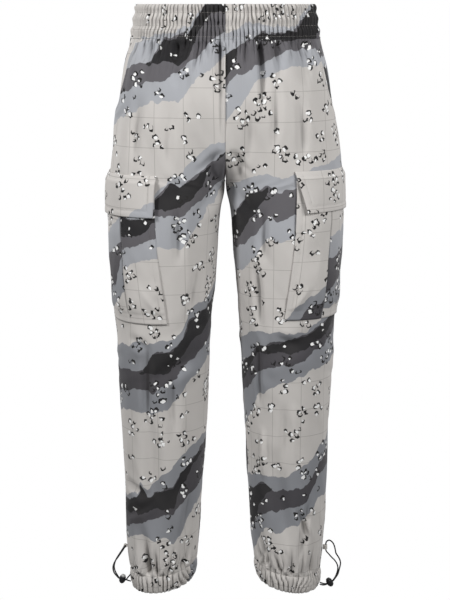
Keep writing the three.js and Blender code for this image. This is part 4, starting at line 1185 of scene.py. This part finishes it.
def makeCuff(name, side):
    c = cuff
    top = form["hemLevel"] + form["cuffHeight"]
    down = np.append(np.arange(0, 29.5, c["rowStep"]), 30.0)
    place = np.linspace(0, 1, c["columns"])
    arc = place[None, :] * turnLength(-1015.0)
    level = top - down[:, None]
    even = ease(-0.004, 0.012, np.minimum(place, 1 - place))[None, :]
    height = bandHeight(arc, down[:, None], c["rows"], gathers["cuffPitch"], 180 + side, 1.0, even)
    height[:, -1] = height[:, 0]
    points = clothPoints(side, place[None, :], level, height)
    low = [
        clothPoints(side, place, top - 30.0, height[-1] + out) + np.array([0, 0, up])
        for out, up in ((-0.6, -0.5), (-1.6, -0.4), (-c["thickness"], 0.3), (-c["thickness"], 3.0))
    ]
    high = [clothPoints(side, place, top + 0.0, height[0] - 1.6) + np.array([0, 0, 0.2])]
    points = np.concatenate([np.stack(high), points, np.stack(low)])
    folded = foldedLength(points)
    folded = np.mean(folded, axis=0, keepdims=True) * 0.92 + folded * 0.08
    downs = np.concatenate([[1000], 1001 + down, [1032, 1033, 1034, 1037]])
    downs = downs[:, None] + 0 * folded
    nameCap = name.capitalize()
    fields = bandFields("cuff" + nameCap, side * (arc - 105) + 0 * folded, downs)
    uvs = np.stack([side * folded + 19, downs + 31], axis=-1)
    piece = clothPiece("cuff" + nameCap, side, points, uvs, fields, 0.7)
    finishCloth(piece, "cuff_" + name)


# Tape, cord and plastic
def plainMaterial(name, color, other, roughness, specular, grainSize, relief):
    # other is the second tone that a fine noise mixes in, grainSize its size in mm
    made = bpy.data.materials.new(name)
    made.use_nodes = True
    tree = made.node_tree
    shader = tree.nodes["Principled BSDF"]
    shader.inputs["Roughness"].default_value = roughness
    shader.inputs["Specular IOR Level"].default_value = specular
    coordinates = addNode(tree, "ShaderNodeTexCoord")
    grain = addNode(
        tree, "ShaderNodeTexNoise",
        {"Vector": coordinates.outputs["Object"], "Scale": 1 / (grainSize * mm), "Detail": 2.0},
    )
    tone = addNode(
        tree, "ShaderNodeMix", {"Factor": grain.outputs[0], 6: hexColor(color), 7: hexColor(other)},
        data_type="RGBA",
    )
    raised = addNode(
        tree, "ShaderNodeBump", {"Strength": 0.5, "Distance": relief * mm, "Height": grain.outputs[0]},
    )
    tree.links.new(tone.outputs[2], shader.inputs["Base Color"])
    tree.links.new(raised.outputs[0], shader.inputs["Normal"])
    return made


# Woven cotton tape: pale grey and matt, with a fine rib
tape = plainMaterial("wovenTape", "#bdbab5", "#d2cfca", 0.9, 0.2, 0.9, 0.15)
# Moulded acetal: dark with a soft wide highlight and a faint orange peel
darkPlastic = plainMaterial("darkAcetal", "#1d1d1f", "#262628", 0.4, 0.5, 1.6, 0.02)
# The same resin made light grey, used on the left button only, where the right one stays dark
greyPlastic = plainMaterial("greyAcetal", "#b4b4b2", "#c0c0be", 0.42, 0.5, 1.6, 0.02)


def makeElasticCordMaterial():
    # Braided elastic cord: black yarn with grey flecks where the braid turns over
    made = bpy.data.materials.new("braidedElasticCord")
    made.use_nodes = True
    tree = made.node_tree
    shader = tree.nodes["Principled BSDF"]
    shader.inputs["Roughness"].default_value = 0.75
    shader.inputs["Sheen Weight"].default_value = 0.1
    flecks = addNode(tree, "ShaderNodeAttribute", attribute_name="fleck")
    color = addNode(
        tree, "ShaderNodeMix",
        {"Factor": flecks.outputs["Fac"], 6: hexColor("#1f1f21"), 7: hexColor("#a9a8a6")}, data_type="RGBA",
    )
    tree.links.new(color.outputs[2], shader.inputs["Base Color"])
    return made


elasticCord = makeElasticCordMaterial()

# Drawcords, by their routes: distance from the middle plane, depth and height
cord = {"diameter": 2.5, "sides": 16, "step": 0.45, "braid": 3.2, "relief": 0.11, "strands": 4}
cordRoute = {
    "left": [
        (173.2, -10.5, -1019.5), (177.6, -9.2, -1025.4), (182.9, -7.45, -1031.6), (188.2, -7.45, -1030.1),
        (193.5, -7.45, -1028.6), (199.1, -4.4, -1024.5), (203.8, -1, -1019.3), (205.8, 2, -1012.5),
        (205, 4, -1006.9), (201.5, 5.2, -999.4), (196.1, 5.4, -991.7), (190, 4.6, -982.4),
        (185.7, 3.9, -975.6), (183.7, 5.8, -972.3), (183.4, 9, -972), (183.4, 13, -972),
        (183.7, 16.4, -972.3), (185.4, 18.4, -975.4), (189.6, 17, -982.4), (195.6, 13, -990.7),
        (200.4, 9.9, -998.2), (203.3, 8, -1006), (203.8, 5.8, -1012), (201.8, 2.7, -1018.6),
        (198, -0.9, -1024.2), (193.5, -4.55, -1028.6), (188.2, -4.55, -1030.1), (182.9, -4.55, -1031.6),
        (178, -5, -1033.3), (172.9, -5.6, -1034.5),
    ],
    "right": [
        (172.2, -15, -1037), (178.5, -11.5, -1039.6), (185.8, -7.45, -1039.4), (190.6, -7.45, -1036.7),
        (195.4, -7.45, -1034), (200.95, -3.4, -1028.9), (205.5, -0.5, -1022.8), (207.8, 2, -1015.6),
        (209.5, 4, -1010), (210.6, 6, -1004.4), (209.5, 7.5, -998.7), (206.4, 8.5, -992.7),
        (202.4, 9.5, -986.4), (200.8, 10, -979.2), (198.8, 10.5, -971.6), (194.8, 11, -965),
        (189.4, 11, -962), (184.9, 11, -964.6), (183.4, 11, -970), (183.4, 11, -979),
        (185.2, 11, -983.8), (188.9, 10.7, -988), (194.4, 10.2, -994.3), (200.2, 9.7, -1000.2),
        (204.2, 9, -1006.5), (205.9, 7.4, -1012.2), (205.4, 5.2, -1017.8), (203.3, 2.7, -1024),
        (199.7, -0.6, -1030.2), (195.4, -4.55, -1034), (190.6, -4.55, -1036.7), (185.8, -4.55, -1039.4),
        (179.3, -6.8, -1038.8), (172.4, -9, -1035.6),
    ],
}


def routeLine(name, side):
    # a smooth line through the route's points, the same as the solid's
    spots = np.array(cordRoute[name]) * [side, 1, 1]
    spots = np.concatenate([[2 * spots[0] - spots[1]], spots, [2 * spots[-1] - spots[-2]]])
    line = []
    for a, b, c, d in zip(spots, spots[1:], spots[2:], spots[3:]):
        before, within, after = (np.linalg.norm(q - p) ** 0.5 for p, q in ((a, b), (b, c), (c, d)))
        leave = ((b - a) / before - (c - a) / (before + within) + (c - b) / within) * within
        arrive = ((c - b) / within - (d - b) / (within + after) + (d - c) / after) * within
        t = np.linspace(0, 1, 24, endpoint=False)[:, None]
        line.append(
            b * (2 * t ** 3 - 3 * t ** 2 + 1) + leave * (t ** 3 - 2 * t ** 2 + t)
            + c * (3 * t ** 2 - 2 * t ** 3) + arrive * (t ** 3 - t ** 2)
        )
    line = np.concatenate(line + [spots[-2:-1]])
    walked = np.concatenate([[0], np.cumsum(np.linalg.norm(np.diff(line, axis=0), axis=1))])
    even = np.linspace(0, walked[-1], int(walked[-1] / cord["step"]))
    return np.stack([np.interp(even, walked, line[:, k]) for k in range(3)], axis=1), walked[-1]


def makeCord(name, side, pieces):
    c = cord
    line, length = routeLine(name, side)
    ahead = np.gradient(line, axis=0)
    ahead /= np.linalg.norm(ahead, axis=1, keepdims=True)
    across = np.zeros_like(line)
    across[0] = np.cross(ahead[0], [0, 0, 1])
    for k in range(1, len(line)):
        across[k] = across[k - 1] - ahead[k] * np.dot(across[k - 1], ahead[k])
        across[k] /= np.linalg.norm(across[k])
    other = np.cross(ahead, across)
    turn = np.arange(c["sides"]) * 2 * np.pi / c["sides"]
    walk = np.arange(len(line)) * length / (len(line) - 1)
    strand = c["strands"] * turn[None, :]
    twist = 2 * np.pi * walk[:, None] / c["braid"]
    braid = np.sin(strand + twist) * np.sin(strand - twist)
    radius = c["diameter"] / 2 + c["relief"] * (braid - 0.3)
    offset = across[:, None] * np.cos(turn)[None, :, None] + other[:, None] * np.sin(turn)[None, :, None]
    points = line[:, None] + offset * radius[..., None]
    rows, columns = points.shape[:2]
    i, j = np.meshgrid(np.arange(rows - 1), np.arange(columns), indexing="ij")
    a, b = (i * columns + j).ravel(), (i * columns + (j + 1) % columns).ravel()
    faces = np.stack([a, b, b + columns, a + columns], axis=1).tolist()
    faces += [list(range(columns))[::-1], [(rows - 1) * columns + k for k in range(columns)]]
    piece = makeObject("drawcord" + name.capitalize(), points, faces, elasticCord)
    fleck = ease(0.55, 0.8, np.sin(2 * strand + 0.5 * twist) * np.sin(0.5 * twist + 1.3)) * 0.75
    stored = piece.data.attributes.new("fleck", "FLOAT", "POINT")
    stored.data.foreach_set("value", fleck.ravel())
    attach(piece, "root")
    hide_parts("drawcord_" + name)
    path = line[::4].tolist() + [line[-1].tolist()]
    path = [[v * mm for v in point] for point in path]
    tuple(path[0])
    print("drawcord", name, "length", round(length, 1))


# Cord locks: a turned barrel, and a button that slides in it, both with the strands' passage
lock = {
    "left": {"place": (188.2, -6, -1030.1), "turn": 15.4}, "right": {"place": (190.6, -6, -1036.7), "turn": 29.4},
    "strandSpacing": 2.9, "passage": 1.7, "segments": 48, "fillet": 0.6,
}
barrelProfile = [
    (0, -8.5), (1.8, -8.2), (3.6, -6.8), (5.2, -4.6), (5.6, -2), (5.6, 4.4), (5, 5.6), (4.4, 5.6), (4.4, -3.6),
    (0, -3.6),
]
buttonProfile = [(0, -3.3), (4.1, -3.3), (4.1, 7.6), (3.3, 8.6), (0, 8.8)]


def roundedProfile(profile, fillet):
    spots = np.array(profile, float)
    line = [spots[0]]
    for a, b, c in zip(spots, spots[1:], spots[2:]):
        start = b + (a - b) * min(0.45, fillet / np.linalg.norm(a - b))
        end = b + (c - b) * min(0.45, fillet / np.linalg.norm(c - b))
        for t in np.linspace(0, 1, 5):
            line.append(mix(mix(start, b, t), mix(b, end, t), t))
    return np.array(line + [spots[-1]])


def turned(name, profile, material):
    line = roundedProfile(profile, lock["fillet"])
    made = bmesh.new()
    spots = [made.verts.new((r * mm, 0, z * mm)) for r, z in line]
    edges = [made.edges.new(pair) for pair in zip(spots, spots[1:])]
    bmesh.ops.spin(
        made, geom=spots + edges, cent=(0, 0, 0), axis=(0, 0, 1), angle=2 * math.pi, steps=lock["segments"],
    )
    bmesh.ops.remove_doubles(made, verts=made.verts, dist=2e-6)
    bmesh.ops.recalc_face_normals(made, faces=made.faces)
    mesh = bpy.data.meshes.new(name)
    made.to_mesh(mesh)
    made.free()
    mesh.polygons.foreach_set("use_smooth", [True] * len(mesh.polygons))
    mesh.materials.append(material)
    piece = bpy.data.objects.new(name, mesh)
    bpy.context.collection.objects.link(piece)
    return piece


def strandPassage():
    # a slot along X, wide enough for two strands side by side along Y
    turn = np.linspace(-np.pi / 2, np.pi / 2, 13)
    arc = np.stack([np.cos(turn), np.sin(turn)], axis=1) * lock["passage"]
    ends = [arc + [lock["strandSpacing"] / 2, 0], -arc - [lock["strandSpacing"] / 2, 0]]
    outline = np.concatenate(ends)
    count = len(outline)
    points = [(x, y, z) for x in (-9, 9) for y, z in outline]
    faces = [list(range(count))[::-1], list(range(count, 2 * count))]
    faces += [[k, (k + 1) % count, (k + 1) % count + count, k + count] for k in range(count)]
    return makeObject("strandPassage", points, faces, darkPlastic)


def settle(piece):
    # apply a piece's modifiers to its mesh
    graph = bpy.context.evaluated_depsgraph_get()
    mesh = bpy.data.meshes.new_from_object(piece.evaluated_get(graph))
    piece.modifiers.clear()
    piece.data = mesh


def makeLock(name, side):
    angle = -math.radians(lock[name]["turn"]) * side
    place = Vector(lock[name]["place"]) * mm
    place.x *= side
    axis = Vector((math.sin(angle), 0, math.cos(angle)))
    along = Vector((math.cos(angle), 0, -math.sin(angle)))
    frameOf = Matrix((along, Vector((0, 1, 0)), axis)).transposed().to_4x4()
    tool = strandPassage()
    made = []
    for kind, profile, material in (
        ("cordLock", barrelProfile, darkPlastic),
        ("lockButton", buttonProfile, greyPlastic if name == "left" else darkPlastic),
    ):
        piece = turned(kind + name.capitalize(), profile, material)
        cut = piece.modifiers.new("passage", "BOOLEAN")
        cut.object = tool
        cut.operation = "DIFFERENCE"
        cut.solver = "EXACT"
        settle(piece)
        piece.data.transform(Matrix.Translation(place) @ frameOf)
        piece.data.shade_smooth()
        sharp = piece.modifiers.new("edges", "BEVEL")
        sharp.width = 0.25 * mm
        sharp.segments = 2
        sharp.angle_limit = math.radians(50)
        sharp.harden_normals = True
        made.append(piece)
    bpy.data.objects.remove(tool)
    nodes = ("cord_lock_", "lock_button_")
    slots = ("dark_plastic", "grey_plastic" if name == "left" else "dark_plastic")
    for piece, node, slotName in zip(made, nodes, slots):
        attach(piece, "root")
        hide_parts(node + name)
    return made


# Tape loops on the side seams, folded round the cord
tab = {
    "x": 183.4, "y": 11, "clearance": 0.45, "tape": 1.2,
    "left": {"level": -972, "width": 8, "upright": False},
    "right": {"level": -974.5, "width": 9, "upright": True},
}


def makeTab(name, side):
    own = tab[name]
    holeRadius = cord["diameter"] / 2 + tab["clearance"]
    loopRadius = holeRadius + tab["tape"]
    foot = float(sectionAt(own["level"])["outer"]) + form["seamGap"]
    meet = math.asin(tab["tape"] / loopRadius)
    middle = np.array([tab["x"], 0])
    turn = np.linspace(np.pi + meet, 3 * np.pi - meet, 41)
    outer = middle + loopRadius * np.stack([np.cos(turn), np.sin(turn)], axis=1)
    outer = np.concatenate([[[foot, -tab["tape"]]], outer, [[foot, tab["tape"]]]])
    turn = np.linspace(2 * np.pi, 0, 40, endpoint=False)
    inner = middle + holeRadius * np.stack([np.cos(turn), np.sin(turn)], axis=1)
    shape = bpy.data.curves.new("tapeLoop", "CURVE")
    shape.dimensions = "2D"
    shape.fill_mode = "BOTH"
    shape.bevel_depth = 0.2 * mm
    shape.bevel_resolution = 2
    shape.offset = -0.2 * mm
    shape.extrude = (own["width"] / 2 - 0.2) * mm
    for outline in (outer, inner):
        spline = shape.splines.new("POLY")
        spline.points.add(len(outline) - 1)
        for spot, (x, y) in zip(spline.points, outline):
            spot.co = (x * mm, y * mm, 0, 1)
        spline.use_cyclic_u = True
    carrier = bpy.data.objects.new("tapeLoop", shape)
    bpy.context.collection.objects.link(carrier)
    graph = bpy.context.evaluated_depsgraph_get()
    mesh = bpy.data.meshes.new_from_object(carrier.evaluated_get(graph))
    bpy.data.objects.remove(carrier)
    if not own["upright"]:
        mesh.transform(Matrix.Rotation(math.pi / 2, 4, "X"))
    if side < 0:
        mesh.transform(Matrix.Rotation(math.pi, 4, "Z"))
    mesh.transform(Matrix.Translation((0, tab["y"] * mm, own["level"] * mm)))
    mesh.materials.clear()
    mesh.materials.append(tape)
    piece = bpy.data.objects.new("cordTab" + name.capitalize(), mesh)
    bpy.context.collection.objects.link(piece)
    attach(piece, "root")
    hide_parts("cord_tab_" + name)


# Light: a bright white room with a broad key from the upper left, dimmer towards the cuffs
light = {
    # name: place, where it looks, width, height, watts
    "key": ((-1.95, -1.5, 0.95), (0, 0, -0.4), 0.5, 0.5, 46),
    "front": ((1.55, -2.1, 0.8), (0, 0, -0.4), 0.9, 0.9, 49),
    "rearLeft": ((-1.9, 1.9, 0.9), (0, 0, -0.4), 1.2, 1.2, 34),
    "rearRight": ((1.9, 1.9, 0.9), (0, 0, -0.4), 1.2, 1.2, 34),
}
ambient = 0.16


def makeLight():
    for name, (place, target, width, height, watts) in light.items():
        data = bpy.data.lights.new(name, "AREA")
        data.shape = "RECTANGLE"
        data.size, data.size_y = width, height
        data.energy = watts
        lamp = bpy.data.objects.new(name, data)
        lamp.location = place
        lamp.rotation_euler = (Vector(target) - Vector(place)).to_track_quat("-Z", "Y").to_euler()
        bpy.context.collection.objects.link(lamp)
    world = bpy.data.worlds.new("whiteRoom")
    world.use_nodes = True
    tree = world.node_tree
    backdrop = tree.nodes["Background"]
    seen = addNode(tree, "ShaderNodeLightPath")
    strength = addNode(
        tree, "ShaderNodeMapRange",
        {"Value": seen.outputs["Is Camera Ray"], "To Min": ambient, "To Max": 1.0},
    )
    backdrop.inputs["Color"].default_value = (1, 1, 1, 1)
    tree.links.new(strength.outputs["Result"], backdrop.inputs["Strength"])
    bpy.context.scene.world = world
    bpy.context.scene.view_settings.view_transform = "Standard"


# A plain white floor just under the hems, as bright as the room, so that no edge shows
floor = {"level": -1.06, "reach": 6.0}


def makeFloor():
    r = floor["reach"]
    mesh = bpy.data.meshes.new("floor")
    mesh.from_pydata([(x, y, floor["level"]) for x, y in ((-r, -r), (r, -r), (r, r), (-r, r))], [], [(0, 1, 2, 3)])
    white = bpy.data.materials.new("whiteFloor")
    white.use_nodes = True
    shader = white.node_tree.nodes["Principled BSDF"]
    shader.inputs["Base Color"].default_value = (0, 0, 0, 1)
    shader.inputs["Specular IOR Level"].default_value = 0.0
    shader.inputs["Emission Color"].default_value = (1, 1, 1, 1)
    shader.inputs["Emission Strength"].default_value = 1.0
    mesh.materials.append(white)
    made = bpy.data.objects.new("floor", mesh)
    bpy.context.collection.objects.link(made)
    made.visible_diffuse = False
    made.visible_glossy = False


makeLight()
makeFloor()
print("camera, light and floor ready")
for name, side in sides.items():
    makeWaistband(name, side)
    makeFront(name, side)
    makeBack(name, side)
    makeFacing(name, side)
    makePocket(name, side)
    makeFlap(name, side)
    makeCuff(name, side)
    makeTab(name, side)
    makeCord(name, side, makeLock(name, side))
    print("pieces made:", name)
